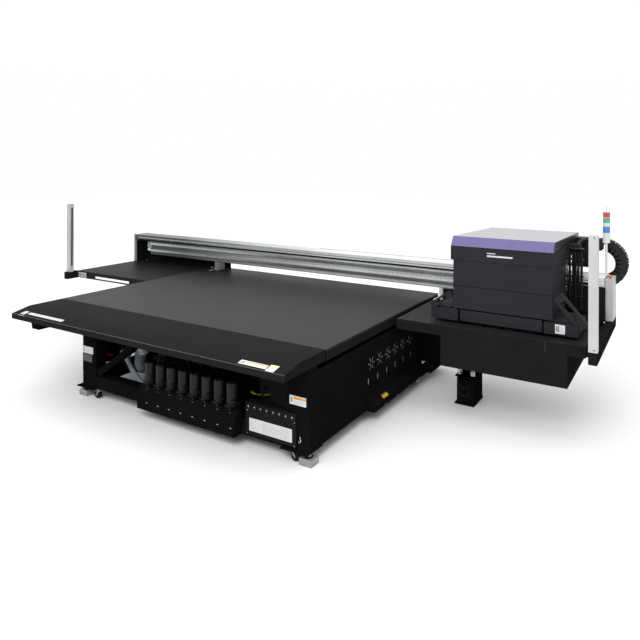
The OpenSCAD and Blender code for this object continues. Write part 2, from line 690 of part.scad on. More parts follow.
// Blocks on the feed rails, and the plates that join them to the wing and the station
module feed_saddles() color("#2e3032") placed() {
    y = [1560, 1740];
    difference() {
        block([FEED_X[0] - 28, y[0], FEED_BOTTOM - 34], [FEED_X[0] + 28, y[1], FEED_BOTTOM - 3]);
        block([FEED_X[0] - RAIL[0] / 2 - 0.5, y[0] - 5, FEED_BOTTOM - RAIL[1] - 0.5],
            [FEED_X[0] + RAIL[0] / 2 + 0.5, y[1] + 5, FEED_BOTTOM + 5]);
    }
    block([wing_r - 120, y[0], FEED_BOTTOM - 46], [FEED_X[0] + 28, y[1], FEED_BOTTOM - 35]);
    block([wing_r - 120, y[0], FEED_BOTTOM - 34], [wing_r - 108, y[1], table_h - 76]);
    difference() {
        block([FEED_X[1] - 28, y[0], 554], [FEED_X[1] + 28, y[1], 582]);
        block([FEED_X[1] - RAIL[0] / 2 - 0.5, y[0] - 5, 550], [FEED_X[1] + RAIL[0] / 2 + 0.5, y[1] + 5, 552 + RAIL[1] + 0.5]);
    }
    block([FEED_X[1] - 28, y[0], 583], [200, y[1], 596]);
    block([50, y[0], 597], [200, y[1], 602]);
}

// ---- carriage ------------------------------------------------------------------------------

module carriage_frame() color("#2c2e30") placed() {
    // Back plate with four rail blocks and a clamp that reaches the belt
    block([830, beam_f - 29, SLOT_Z[0] + 4], [880, belt_mid - PULLEY_R - 3.4, SLOT_Z[1] - 4]);
    block([520, beam_f - 45, 700], [1160, beam_f - 30, 1030]);
    for (x = [560, 1010], z = rail_z) difference() {
        block([x, beam_f - 29, z - 26], [x + 110, beam_f + 16, z + 26]);
        block([x - 5, beam_f + 0.2, z - rail_h / 2 - 0.6], [x + 115, beam_f + 40, z + rail_h / 2 + 0.6]);
    }
}

REAR_TOP = 1306;
LEAN = 50;            // how far the lid's front face leans back

module carriage_shell() color("#2a2c30") placed() {
    // Body below the hood, open underneath
    sheet_box([body_l, car_f + 4, 796], [body_r, beam_f - 50, 1157]);
    // Hood: the wider upper part, which reaches back over the beam
    difference() {
        block([car_l, car_f, 1158], [car_r, rear_y, 1262]);
        block([car_l + SHEET, car_f + SHEET, 1161], [car_r - SHEET, rear_y - SHEET, 1270]);
    }
    // Cable box that hangs behind the beam
    block([car_l + 60, beam_b + 45, 1060], [car_r - 60, rear_y - 6, 1157]);
}

module carriage_lid() color("#c9c9d2") placed() {
    // Light top with a coloured chamfer along its front edge
    along_x(car_l, car_r) difference() {
        polygon([[car_f, 1263], [car_f + LEAN, hood_top], [rear_y, REAR_TOP], [rear_y, 1263]]);
        polygon([[car_f + SHEET + 1, 1260], [car_f + LEAN + 2, hood_top - SHEET],
            [rear_y - SHEET, REAR_TOP - SHEET], [rear_y - SHEET, 1260]]);
    }
    for (x = [car_l + 0.5, car_r - 3.5]) along_x(x, x + 3)
        polygon([[car_f + 8, 1264], [car_f + LEAN + 4, hood_top - 4.5], [rear_y - 4, REAR_TOP - 4],
            [rear_y - 4, 1264]]);
}

skirt_x = [536, 1140];
HOUSING_X = [[306, 520], [1152, 1383]];

module lamp_housings() color("#232529") placed() {
    // Front skirt between the two lamp housings
    block([skirt_x[0], car_f + 5, 704], [skirt_x[1], car_f + 8, 787]);
    for (h = HOUSING_X) {
        difference() {
            block([h[0], car_f, 700], [h[1], car_f + 330, 782]);
            block([h[0] + SHEET, car_f + SHEET, 690], [h[1] - SHEET, car_f + 327, 779]);
        }
        // Lamp window under each housing
        block([h[0] + 40, car_f + 60, 706], [h[1] - 40, car_f + 270, 716]);
    }
}

// A slanted arm of thickness t above the line from a to b, in the x-z plane. slot holds where
// its long hole starts and ends along that line, then the hole's lower and upper edges.
module arm(a, b, t, slot) {
    along = (b - a) / norm(b - a);
    up = [along[1], -along[0]] * (along[0] > 0 ? -1 : 1);
    along_y(car_f + 4, car_f + 40) difference() {
        polygon([a, b, b + t * up, a + t * up]);
        polygon([for (k = [[0, 2], [1, 2], [1, 3], [0, 3]]) a + slot[k[0]] * along + slot[k[1]] * up]);
    }
}

module lamp_handles() color("#2f3135") placed() {
    difference() {
        arm([car_r - 2, 941], [1391, 741], 75, [45, 195, 18, 60]);
        block([1100, car_f, 690], [1385, car_f + 100, 783.5]);
    }
    difference() {
        arm([480, 880], [318, 768], 50, [50, 130, 15, 35]);
        block([200, car_f, 690], [600, car_f + 100, 783.5]);
    }
}

module print_heads() color("#3a3d40") placed() {
    // Carriage floor with staggered heads under it
    difference() {
        block([520, car_f + 40, 722], [1138, beam_f - 60, 734]);
        for (i = [0:3], j = [0:1]) block([590 + i * 130, 1085 + j * 190, 700], [680 + i * 130, 1215 + j * 190, 740]);
    }
    for (i = [0:3], j = [0:1]) block([591 + i * 130, 1086 + j * 190, 700], [679 + i * 130, 1214 + j * 190, 790]);
}

TUBES = 5;
TUBE_R = 10;

module ink_tubes() color("#18191a") placed() {
    // Bundle beside the carriage, held by a shelf at each end
    x = [for (i = [0:TUBES - 1]) body_r + 26 + 21 * i];
    for (i = [0:TUBES - 1]) translate([x[i], 1500 + 12 * (i % 2), 790]) cylinder(h = 440, r = TUBE_R);
    block([body_r + SLIP, 1484, 776], [x[TUBES - 1] + 16, 1530, 789]);
    block([car_r + SLIP, 1484, 1231], [x[TUBES - 1] + 16, 1530, 1241]);
    // Bracket that takes the end of the cable chain
    block([1080, chain_y[0] - 8, 1046], [car_r + 7, chain_y[1] + 12, 1059]);
    difference() {
        block([car_r + 6, chain_y[0] - 8, 1046], [top_l - 2, chain_y[1] + 12, 1282]);
        block([car_r + 10, chain_y[0] - 4, 1050], [top_l + 5, chain_y[1] + 8, 1278]);
    }
}

// ---- what is drawn -------------------------------------------------------------------------

base_frame();
side_panel_right();
base_panels();
side_service_box();
table_bearers();
table_plate();
table_skirts();
front_cover();
feed_beams();
feed_rails();
levelling_feet();
ink_tray();
ink_bottle_covers();
valve_panel();
vacuum_unit();
vacuum_hoses();
control_cabinet();
station_stand();
caster_fork_1();
caster_fork_2();
caster_wheel(caster_x[0], caster_y[0]);  // caster_wheel_1
caster_wheel(caster_x[1], caster_y[0]);  // caster_wheel_2
caster_wheel(caster_x[0], caster_y[1]);  // caster_wheel_3
caster_wheel(caster_x[1], caster_y[1]);  // caster_wheel_4
valve_lever(0);  // valve_lever_1
valve_lever(1);  // valve_lever_2
valve_lever(2);  // valve_lever_3
valve_lever(3);  // valve_lever_4
valve_lever(4);  // valve_lever_5
valve_lever(5);  // valve_lever_6
valve_lever(6);  // valve_lever_7
valve_lever(7);  // valve_lever_8
gantry_beam();
gantry_lower_profile();
carriage_rails();
gantry_end_plates();
gantry_rear_panels();
gantry_legs();
left_wing();
side_arms();
light_posts();
station_shell();
station_deck();
capping_unit();
estop_box();
tower_pole();
tower_lamps();
cable_chain();
drive_belt();
feed_saddles();
estop_button();
drive_pulley();
idler_pulley();
carriage_frame();
carriage_shell();
carriage_lid();
lamp_housings();
lamp_handles();
print_heads();
ink_tubes();
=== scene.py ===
"""Looks of the flatbed UV printer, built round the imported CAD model."""
import json
import math
import random

import bmesh
import bpy
from mathutils import Matrix, Vector


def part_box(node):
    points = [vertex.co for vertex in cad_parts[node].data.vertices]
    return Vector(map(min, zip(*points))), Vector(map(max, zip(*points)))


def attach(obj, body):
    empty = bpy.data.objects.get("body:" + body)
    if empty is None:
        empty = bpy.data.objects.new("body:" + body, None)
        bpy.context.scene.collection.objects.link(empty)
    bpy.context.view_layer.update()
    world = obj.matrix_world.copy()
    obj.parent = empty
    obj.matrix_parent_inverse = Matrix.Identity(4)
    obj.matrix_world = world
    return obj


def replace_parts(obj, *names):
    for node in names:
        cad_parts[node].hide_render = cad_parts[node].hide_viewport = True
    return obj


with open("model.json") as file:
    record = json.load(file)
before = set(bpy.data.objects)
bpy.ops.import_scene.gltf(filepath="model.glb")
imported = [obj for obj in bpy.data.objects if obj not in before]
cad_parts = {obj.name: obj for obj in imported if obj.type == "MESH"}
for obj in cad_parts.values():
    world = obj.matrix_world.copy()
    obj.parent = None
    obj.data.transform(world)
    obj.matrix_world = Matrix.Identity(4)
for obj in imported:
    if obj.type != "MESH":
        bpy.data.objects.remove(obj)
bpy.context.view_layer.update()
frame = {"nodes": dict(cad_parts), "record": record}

rng = random.Random(7)

# ---- working frame: millimetres from the table's right front corner, on the floor ----

MM = 0.001
table_lo, table_hi = (Vector(c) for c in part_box("table_plate"))
CORNER = Vector((table_hi.x, table_lo.y, 0))
TOP_Z = table_hi.z / MM              # the table's surface, level with the wings and the station
LEFT, RIGHT, FRONT, BACK, UP = (-1, 0, 0), (1, 0, 0), (0, -1, 0), (0, 1, 0), (0, 0, 1)


def at(x, y, z):
    """A point in the frame, in metres, from working millimetres."""
    return CORNER + Vector((x, y, z)) * MM


def span(node):
    """A node's lowest and highest corners in working millimetres."""
    return [(Vector(c) - CORNER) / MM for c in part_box(node)]


# ---- camera, floor and light ----

SENSOR = 36.0
LENS = 32.034375
SHIFT = (-0.078125, -0.24078125)
CAMERA_AT = (2034, -3059, 1861.5)
YAW = -29.3
ROLL = 0.25


def camera():
    data = bpy.data.cameras.new("camera")
    data.sensor_width = SENSOR
    data.lens = LENS
    data.shift_x, data.shift_y = SHIFT
    data.clip_end = 100
    data.dof.use_dof = False
    cam = bpy.data.objects.new("camera", data)
    cam.location = at(*CAMERA_AT)
    yaw = math.radians(YAW)
    turn = Matrix.Rotation(-yaw, 4, "Z") @ Matrix.Rotation(math.pi / 2, 4, "X")
    cam.rotation_euler = (turn @ Matrix.Rotation(math.radians(ROLL), 4, "Z")).to_euler()
    bpy.context.collection.objects.link(cam)
    bpy.context.scene.camera = cam


def soft_light(name, place, aim, size, watts):
    data = bpy.data.lights.new(name, "AREA")
    data.shape = "RECTANGLE"
    data.size, data.size_y = size
    data.energy = watts
    lamp = bpy.data.objects.new(name, data)
    lamp.location = place
    lamp.rotation_euler = (Vector(aim) - Vector(place)).to_track_quat("-Z", "Y").to_euler()
    bpy.context.collection.objects.link(lamp)


# ---- materials ----


def plug(tree, target, value):
    """Links target to value where that is an output, and else sets it."""
    if hasattr(value, "is_linked"):
        tree.links.new(value, target)
    else:
        target.default_value = value


class Shader:
    """A Principled material built node by node, on the object's own coordinates."""

    def __init__(self, name):
        self.material = bpy.data.materials.new(name)
        self.material.use_nodes = True
        self.tree = self.material.node_tree
        self.bsdf = self.tree.nodes["Principled BSDF"]
        self.coords = self.node("ShaderNodeTexCoord").outputs["Object"]

    def node(self, kind, **settings):
        made = self.tree.nodes.new(kind)
        for key, value in settings.items():
            setattr(made, key, value)
        return made

    def link(self, source, target):
        self.tree.links.new(source, target)

    def stretched(self, scale):
        mapping = self.node("ShaderNodeMapping")
        mapping.inputs["Scale"].default_value = scale
        self.link(self.coords, mapping.inputs["Vector"])
        return mapping.outputs["Vector"]

    def normal(self):
        return self.node("ShaderNodeNewGeometry").outputs["Normal"]

    def axes(self, vector):
        """A vector's X, Y and Z as separate outputs."""
        parts = self.node("ShaderNodeSeparateXYZ")
        self.link(vector, parts.inputs[0])
        return parts.outputs

    def noise(self, scale, detail=3, vector=None):
        tex = self.node("ShaderNodeTexNoise")
        tex.inputs["Scale"].default_value = scale
        tex.inputs["Detail"].default_value = detail
        self.link(vector or self.coords, tex.inputs["Vector"])
        return tex.outputs["Fac"]

    def ramp(self, value, stops):
        """Maps value through (position, brightness) stops."""
        made = self.node("ShaderNodeValToRGB")
        bar = made.color_ramp
        while len(bar.elements) < len(stops):
            bar.elements.new(0.5)
        for element, (place, level) in zip(bar.elements, stops):
            element.position = place
            element.color = (level, level, level, 1)
        self.link(value, made.inputs["Fac"])
        return made.outputs["Color"]

    def math(self, operation, a, b=0.0):
        made = self.node("ShaderNodeMath", operation=operation)
        for socket, value in zip(made.inputs, (a, b)):
            plug(self.tree, socket, value)
        return made.outputs[0]

    def times(self, value, *factors):
        for factor in factors:
            value = self.math("MULTIPLY", value, factor)
        return value

    def above(self, value, limit):
        return self.math("GREATER_THAN", value, limit)

    def below(self, value, limit):
        return self.math("LESS_THAN", value, limit)

    def mix(self, fac, a, b):
        made = self.node("ShaderNodeMix", data_type="RGBA")
        for i, value in ((0, fac), (6, a), (7, b)):
            plug(self.tree, made.inputs[i], value)
        return made.outputs[2]

    def shown(self):
        """The colour that the material shows so far."""
        return self.bsdf.inputs["Base Color"].links[0].from_socket

    def show(self, colour):
        self.link(colour, self.bsdf.inputs["Base Color"])

    def bump(self, height, strength, distance):
        made = self.node("ShaderNodeBump")
        made.inputs["Strength"].default_value = strength
        made.inputs["Distance"].default_value = distance
        self.link(height, made.inputs["Height"])
        self.link(made.outputs["Normal"], self.bsdf.inputs["Normal"])


WORN_EDGE = 0.0015                   # how far the wear at an edge reaches, in metres
DUST = (0.45, 0.44, 0.42, 1)


def rgba(colour, gain=1.0):
    return tuple(min(1.0, c * gain) for c in colour) + (1,)


def finish_of(name, colour, rough, metallic=0.0, vary=0.12, patch=4.0, grain=900.0, depth=0.15, brush=None,
              wear=0.25, dust=0.02, gloss=0.3):
    """Paint, plastic or metal: patchy colour, fine grain, brightened edges and a little dust on top."""
    s = Shader(name)
    patches = s.noise(patch, 4)
    tone = s.mix(s.ramp(patches, [(0.35, 0), (0.65, 1)]), rgba(colour, 1 - vary), rgba(colour, 1 + vary))
    if wear:
        rounded = s.node("ShaderNodeBevel", samples=4)
        rounded.inputs["Radius"].default_value = WORN_EDGE
        level = s.node("ShaderNodeVectorMath", operation="DOT_PRODUCT")
        s.link(rounded.outputs[0], level.inputs[0])
        s.link(s.normal(), level.inputs[1])
        edge = s.ramp(level.outputs["Value"], [(0.93, 1), (0.995, 0)])
        scuffs = s.ramp(s.noise(60, 5), [(0.48, 0), (0.62, 1)])
        tone = s.mix(s.times(edge, scuffs, wear), tone, rgba([1.6 * c + 0.05 for c in colour]))
    upward = s.math("MAXIMUM", s.axes(s.normal())["Z"], 0.0)
    lying = s.times(upward, s.ramp(s.noise(25, 6), [(0.45, 0), (0.7, 1)]), dust)
    s.show(s.mix(lying, tone, DUST))
    fine = s.noise(grain, 2, s.stretched(brush) if brush else None)
    blend = s.math("ADD", s.times(fine, 0.5), s.times(patches, 0.5))
    s.link(s.ramp(blend, [(0.35, rough[0]), (0.65, rough[1])]), s.bsdf.inputs["Roughness"])
    s.bsdf.inputs["Metallic"].default_value = metallic
    s.bsdf.inputs["Specular IOR Level"].default_value = gloss
    s.bump(fine, depth, 0.0006)
    return s


def plain(*looks, **more):
    """The material of a finish that needs nothing on top."""
    return finish_of(*looks, **more).material


def charcoal(name, grey, vary, gloss):
    """Dark powder-coated sheet, whose copies differ in grey and sheen as painted light on faces that look up.
    """
    shade = (grey, grey, grey + 0.001)
    return plain(name, shade, (0.42, 0.54), 0, vary, 2.5, 1500, 0.12, dust=0.004, gloss=gloss)


HOLE_PITCH = 0.030                   # the table's vacuum holes, in metres
HOLE_R = 0.0011


def grid_of_dots(s, pitch, radius):
    """1 inside round dots on a square grid in x and y, else 0."""
    squares = []
    for axis in ("X", "Y"):
        cell = s.math("SUBTRACT", s.math("FRACT", s.math("DIVIDE", s.axes(s.coords)[axis], pitch)), 0.5)
        squares.append(s.math("POWER", s.times(cell, pitch), 2.0))
    return s.below(s.math("SQRT", s.math("ADD", *squares)), radius)


def table_finish():
    """Hard-anodised plate: small vacuum holes on a square grid, and a soft sheen."""
    s = finish_of("table_anodised", (0.0215, 0.021, 0.0205), (0.45, 0.55), 0.1, 0.08, 1.4, 600, 0.06,
                  brush=(1, 6, 1), wear=0.1, dust=0.008, gloss=0.13)
    s.show(s.mix(s.times(grid_of_dots(s, HOLE_PITCH, HOLE_R), 0.8), s.shown(), (0.006, 0.006, 0.006, 1)))
    return s.material


def lid_finish():
    """Pale top, lavender front and dark sides, told apart by which way the face looks."""
    s = finish_of("lid_lavender", (0.355, 0.35, 0.375), (0.3, 0.4), 0.0, 0.05, 3, 1400, 0.08, wear=0.1)
    facing = s.axes(s.normal())
    front = s.below(facing["Y"], -0.45)
    side = s.above(s.math("ABSOLUTE", facing["X"]), 0.6)
    tone = s.mix(front, s.shown(), rgba((0.142, 0.117, 0.272)))
    s.show(s.mix(side, tone, rgba((0.008, 0.008, 0.0095))))
    return s.material


def lamp_finish(lo, hi):
    """Three lens colours by height: blue, green and red from the bottom up."""
    s = finish_of("lens_colours", (0.02, 0.2, 0.7), (0.08, 0.16), 0.0, 0.08, 20, 500, 0.05, wear=0, dust=0)
    height = s.axes(s.coords)["Z"]
    bottom, third = lo.z * MM, (hi.z - lo.z) * MM / 3
    tone = s.mix(s.above(height, bottom + third), rgba((0.008, 0.2, 0.62)), rgba((0.03, 0.42, 0.2)))
    tone = s.mix(s.above(height, bottom + 2.1 * third), tone, rgba((0.5, 0.015, 0.035)))
    rings = s.node("ShaderNodeTexWave", wave_type="BANDS", bands_direction="Z")
    rings.inputs["Scale"].default_value = 90
    s.link(s.coords, rings.inputs["Vector"])
    s.show(s.mix(s.times(rings.outputs["Fac"], 0.1), tone, (1, 1, 1, 1)))
    s.bsdf.inputs["Transmission Weight"].default_value = 0.1
    s.bsdf.inputs["Coat Weight"].default_value = 0.5
    s.bump(rings.outputs["Fac"], 0.3, 0.001)
    return s.material


def label_finish(name, bars, stripe, tint, ground=0.72, block_at=0.18, rules=0.45):
    """A plain printed plate: one ground, a coloured stripe, faint grey rules and a grey block at the left."""
    s = finish_of(name, (ground,) * 3, (0.35, 0.45), vary=0.05, patch=40, depth=0.03, wear=0, dust=0)
    uv = s.axes(s.node("ShaderNodeTexCoord").outputs["UV"])
    u, v = uv["X"], uv["Y"]

    def within(value, low, high):
        return s.times(s.above(value, low), s.below(value, high))

    tone = s.mix(s.times(within(v, *stripe), s.above(u, 0.24)), s.shown(), rgba(tint))
    rows = s.above(s.math("FRACT", s.times(v, bars)), 0.62)
    ruled = s.times(rows, within(u, 0.3, 0.93), within(v, 0.1, stripe[0] - 0.08), rules)
    tone = s.mix(ruled, tone, (0.2, 0.2, 0.21, 1))
    block = s.times(within(u, 0.06, block_at), within(v, 0.2, 0.8), 0.7)
    s.show(s.mix(block, tone, (0.12, 0.12, 0.13, 1)))
    return s.material


ALONG_X = (3, 260, 260)              # noise scale of metal brushed along x
SHADE_FADE_X = (-1.9, 0.45)        # stretch of x, in metres, over which the painted shade on the beam fades out


def beam_finish():
    """Clear anodised extrusion, darkened towards its far left end by painted shade."""
    s = finish_of("anodised_extrusion", (0.78, 0.79, 0.785), (0.24, 0.38), 0.2, 0.1, 2, 26, 0.08, ALONG_X,
                  wear=0.1, gloss=0.12)
    reach = s.node("ShaderNodeMapRange")
    for key, value in zip(("From Min", "From Max"), SHADE_FADE_X):
        reach.inputs[key].default_value = value
    s.link(s.axes(s.coords)["X"], reach.inputs["Value"])
    bright = s.shown()
    # Painted shade: the beam's colour fades to near black towards its far left end.
    shaded_end = s.mix(0.95, bright, (0.075, 0.08, 0.077, 1))
    s.show(s.mix(reach.outputs["Result"], shaded_end, bright))
    return s.material


BLACK = (0.0055, 0.0055, 0.006)
RUBBER = (0.01, 0.01, 0.01)
mats = {
    "black_steel": plain("black_satin", (0.006, 0.006, 0.0065), (0.4, 0.52), 0, 0.12, 3, 700, 0.1, dust=0.004,
                         gloss=0),
    "dark_sheet": charcoal("charcoal_powder", 0.0125, 0.08, 0),
    "vacuum_table": table_finish(),
    "rail_steel": plain("ground_steel", (0.4, 0.42, 0.43), (0.22, 0.34), 1, 0.08, 3, 30, 0.06, ALONG_X),
    "pad_steel": plain("dull_zinc", (0.34, 0.34, 0.335), (0.45, 0.6), 0.6, 0.12, 30, 400),
    "zinc_steel": plain("bright_zinc", (0.6, 0.6, 0.58), (0.2, 0.35), 1, 0.1, 40, 500, 0.05),
    "bottle_plastic": plain("bottle_black", BLACK, (0.3, 0.4), 0, 0.1, 12, 1600, 0.08, gloss=0.2),
    "blower_paint": plain("blower_grey", (0.1, 0.115, 0.13), (0.4, 0.5), 0, 0.12, 8, 500),
    "hose_plastic": plain("hose_blue_grey", (0.36, 0.4, 0.44), (0.4, 0.5), 0, 0.1, 12, 700, 0.1),
    "cabinet_paint": plain("cabinet_black", BLACK, (0.45, 0.55), 0, 0.1, 4, 1400, dust=0.004, gloss=0),
    "wheel_rubber": plain("wheel_black", RUBBER, (0.6, 0.75), 0, 0.15, 30, 500, 0.2, gloss=0.1),
    "beam_aluminium": beam_finish(),
    "white_paint": plain("white_powder", (0.475, 0.475, 0.465), (0.4, 0.5), 0, 0.05, 5, 1500, 0.12, wear=0.1),
    "white_plastic": plain("white_gloss", (0.66, 0.67, 0.66), (0.2, 0.3), 0, 0.05, 10, 900, 0.05),
    "lamp_plastic": lamp_finish(*span("tower_lamps")),
    "cap_plastic": plain("cap_grey", (0.03, 0.03, 0.032), (0.4, 0.5), 0, 0.1, 15, 900, 0.12),
    "chain_plastic": plain("chain_black", (0.017, 0.017, 0.018), (0.35, 0.5), 0, 0.15, 20, 900, 0.12,
                           gloss=0.15),
    "belt_rubber": plain("belt_black", RUBBER, (0.6, 0.7), 0, 0.1, 30, 500, 0.2, gloss=0.1),
    "button_plastic": plain("button_orange", (0.66, 0.1, 0.02), (0.2, 0.3), 0, 0.08, 30, 900, 0.05),
    "carriage_paint": plain("carriage_slate", (0.0245, 0.024, 0.0275), (0.4, 0.52), 0, 0.07, 2.5, 1500,
                            gloss=0.02),
    "lid_paint": lid_finish(),
    "head_steel": plain("head_satin", (0.22, 0.23, 0.24), (0.3, 0.4), 0.9, 0.1, 12, 700, 0.08),
    "hose_black": plain("hose_black", (0.009, 0.009, 0.0095), (0.35, 0.5), 0, 0.15, 20, 700, 0.12,
                        gloss=0.12),
}
label_orange = label_finish("label_orange", 9, (0.62, 0.9), (0.78, 0.32, 0.06))
label_grey = label_finish("label_grey", 7, (0.75, 0.8), (0.35, 0.36, 0.36))
label_yellow = label_finish("label_yellow", 6, (0.62, 0.8), (0.75, 0.5, 0.03))
label_amber = label_finish("label_amber", 5, (0.02, 0.98), (0.62, 0.33, 0.02), 0.1)
label_tan = label_finish("label_tan", 4, (0.42, 0.56), (0.1, 0.08, 0.07), 0.42)
label_dim = label_finish("label_dim", 4, (0.8, 0.86), (0.05, 0.05, 0.05), 0.035)
label_chart = label_finish("label_chart", 7, (0.9, 0.93), (0.6, 0.6, 0.6), 0.6, 0.0, 0.35)
label_tall = label_finish("label_tall", 6, (0.86, 0.94), (0.5, 0.52, 0.55), 0.7, 0.42)
red_paint = plain("valve_red", (0.55, 0.02, 0.015), (0.3, 0.4), 0, 0.1, 30)
badge_paint = plain("badge_pale", (0.62, 0.62, 0.64), (0.25, 0.35), 0.5, 0.05, 30)
fan_paint = plain("fan_grey", (0.42, 0.42, 0.42), (0.4, 0.5), 0, 0.1, 30)
# The duct's blue-grey darkened as painted shade, since it lies deep inside the bay.
duct_shaded_paint = plain("duct_shade", (0.12, 0.135, 0.155), (0.4, 0.5), 0, 0.1, 12, 700, 0.1)
lever_paint = plain("lever_dull", (0.05, 0.05, 0.05), (0.4, 0.5), 0.3, 0.1, 30)
# Grey for thin lines that paint the highlights along folds and joints.
highlight_line_paint = plain("edge_strip_grey", (0.075, 0.075, 0.075), (0.4, 0.5), 0.2, 0.1, 30, gloss=0.1)
yellow_hose = plain("hose_yellow_green", (0.25, 0.27, 0.02), (0.3, 0.4), 0, 0.1, 20)
grey_collar = plain("collar_grey", (0.5, 0.5, 0.48), (0.3, 0.4), 0, 0.05, 20)

LEVERS = 8
OWN_FINISH = {
    # Lit copies of the charcoal sheet as painted light: the wing, cover and deck get more sheen, and the deck
    # a lighter grey.
    "left_wing": charcoal("charcoal_top", 0.0125, 0.06, 0.045),
    "front_cover": charcoal("charcoal_bent", 0.0125, 0.06, 0.009),
    "station_deck": charcoal("charcoal_deck", 0.0155, 0.06, 0.075),
    "caster_fork_1": mats["pad_steel"],
    "caster_fork_2": mats["pad_steel"],
}
OWN_FINISH.update(("valve_lever_%d" % (i + 1), lever_paint) for i in range(LEVERS))

# ---- building pieces ----


class Piece:
    """Geometry of one Blender piece, in working millimetres, that rides on a body."""

    def __init__(self, name, body, slot, material=None):
        self.name, self.body, self.slot = name, body, slot
        self.material = material or mats[slot]
        self.bm = bmesh.new()
        self.uv = self.bm.loops.layers.uv.new("UVMap")

    def box(self, lo, hi, round_by=0.8, segments=2):
        lo, hi = Vector(lo), Vector(hi)
        made = bmesh.ops.create_cube(self.bm, size=1)["verts"]
        for v in made:
            v.co = Vector([lo[i] + (v.co[i] + 0.5) * (hi[i] - lo[i]) for i in range(3)])
        self.soften(made, round_by, segments)

    def soften(self, verts, round_by, segments):
        if round_by <= 0:
            return
        edges = {e for v in verts for e in v.link_edges}
        bmesh.ops.bevel(self.bm, geom=list(edges), offset=round_by, segments=segments, affect="EDGES",
                        profile=0.5)

    def prism(self, outline, axis, lo, hi, round_by=0.6):
        """An outline in the plane across axis (0 = x with y-z points, 1 = y with x-z, 2 = z with x-y)."""
        def place(p, h):
            return Vector({0: (h, p[0], p[1]), 1: (p[0], h, p[1]), 2: (p[0], p[1], h)}[axis])
        low = [self.bm.verts.new(place(p, lo)) for p in outline]
        high = [self.bm.verts.new(place(p, hi)) for p in outline]
        count = len(outline)
        self.bm.faces.new(low)
        self.bm.faces.new(high[::-1])
        for i in range(count):
            self.bm.faces.new((low[i], high[i], high[(i + 1) % count], low[(i + 1) % count]))
        self.soften(low + high, round_by, 1)

    def lathe(self, base, direction, profile, segments=24):
        """Turns (radius, height) points about the axis from base along direction."""
        turn = Vector(direction).to_track_quat("Z", "Y")
        rings = []
        for radius, height in profile:
            if radius < 1e-6:
                rings.append([self.bm.verts.new(Vector(base) + turn @ Vector((0, 0, height)))])
                continue
            ring = []
            for i in range(segments):
                angle = 2 * math.pi * i / segments
                spot = Vector((radius * math.cos(angle), radius * math.sin(angle), height))
                ring.append(self.bm.verts.new(Vector(base) + turn @ spot))
            rings.append(ring)
        self.join(rings, segments)

    def join(self, rings, segments):
        for a, b in zip(rings, rings[1:]):
            for i in range(segments):
                j = (i + 1) % segments
                corners = [a[i % len(a)], a[j % len(a)], b[j % len(b)], b[i % len(b)]]
                face = list(dict.fromkeys(corners))
                if len(face) > 2:
                    self.bm.faces.new(face)
        for ring, flip in ((rings[0], True), (rings[-1], False)):
            if len(ring) > 2:
                self.bm.faces.new(ring[::-1] if flip else ring)

    def sweep(self, path, radius, segments=14):
        """A round tube along path. radius is a number or a function of the distance along it."""
        path = [Vector(p) for p in path]
        rings, run = [], 0.0
        side = None
        for i, point in enumerate(path):
            ahead = (path[min(i + 1, len(path) - 1)] - path[max(i - 1, 0)]).normalized()
            if side is None:
                side = ahead.orthogonal().normalized()
            side = (side - ahead * side.dot(ahead)).normalized()
            other = ahead.cross(side)
            run += (point - path[i - 1]).length if i else 0
            r = radius(run) if callable(radius) else radius
            rings.append([self.bm.verts.new(point + r * (math.cos(t) * side + math.sin(t) * other))
                          for t in [2 * math.pi * k / segments for k in range(segments)]])
        self.join(rings, segments)

    def hoop(self, centre, across, r, wire, count):
        """A wire ring round centre, in the plane of across and up."""
        centre, across, up = Vector(centre), Vector(across), Vector(UP)
        turns = [2 * math.pi * k / count for k in range(count + 1)]
        self.sweep([centre + r * (math.cos(t) * across + math.sin(t) * up) for t in turns], wire, 6)

    def screw(self, place, direction, r=5.0, tall=3.0):
        """A socket-head screw: chamfered rim and a recessed socket."""
        self.lathe(place, direction, [(r, 0), (r, tall * 0.75), (r * 0.85, tall), (r * 0.5, tall),
                                      (r * 0.45, tall * 0.35), (0, tall * 0.3)], 12)

    def plate(self, centre, across, up, w, h, thick=0.8, corner=3.0):
        """A thin plate with rounded corners, and its face laid out from 0 to 1 for the label patterns."""
        across, up, centre = Vector(across).normalized(), Vector(up).normalized(), Vector(centre)
        out = across.cross(up)
        outline = []
        for qx, qy, start in ((1, 1, 0), (-1, 1, 90), (-1, -1, 180), (1, -1, 270)):
            for step in range(4):
                a = math.radians(start + 30 * step)
                outline.append((qx * (w / 2 - corner) + corner * math.cos(a),
                                qy * (h / 2 - corner) + corner * math.sin(a)))
        low = [self.bm.verts.new(centre + across * u + up * v) for u, v in outline]
        high = [self.bm.verts.new(centre + across * u + up * v + out * thick) for u, v in outline]
        top = self.bm.faces.new(high)
        self.bm.faces.new(low[::-1])
        for i in range(len(outline)):
            j = (i + 1) % len(outline)
            self.bm.faces.new((low[i], low[j], high[j], high[i]))
        for loop, (u, v) in zip(top.loops, outline):
            loop[self.uv].uv = (u / w + 0.5, v / h + 0.5)

    def done(self, smooth=35):
        bmesh.ops.recalc_face_normals(self.bm, faces=self.bm.faces)
        for v in self.bm.verts:
            v.co = at(*v.co)
        mesh = bpy.data.meshes.new(self.name)
        self.bm.to_mesh(mesh)
        self.bm.free()
        mesh.materials.append(self.material)
        piece = bpy.data.objects.new(self.name, mesh)
        bpy.context.collection.objects.link(piece)
        mesh.shade_smooth()
        mesh.set_sharp_from_angle(angle=math.radians(smooth))
        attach(piece, self.body)
        return piece


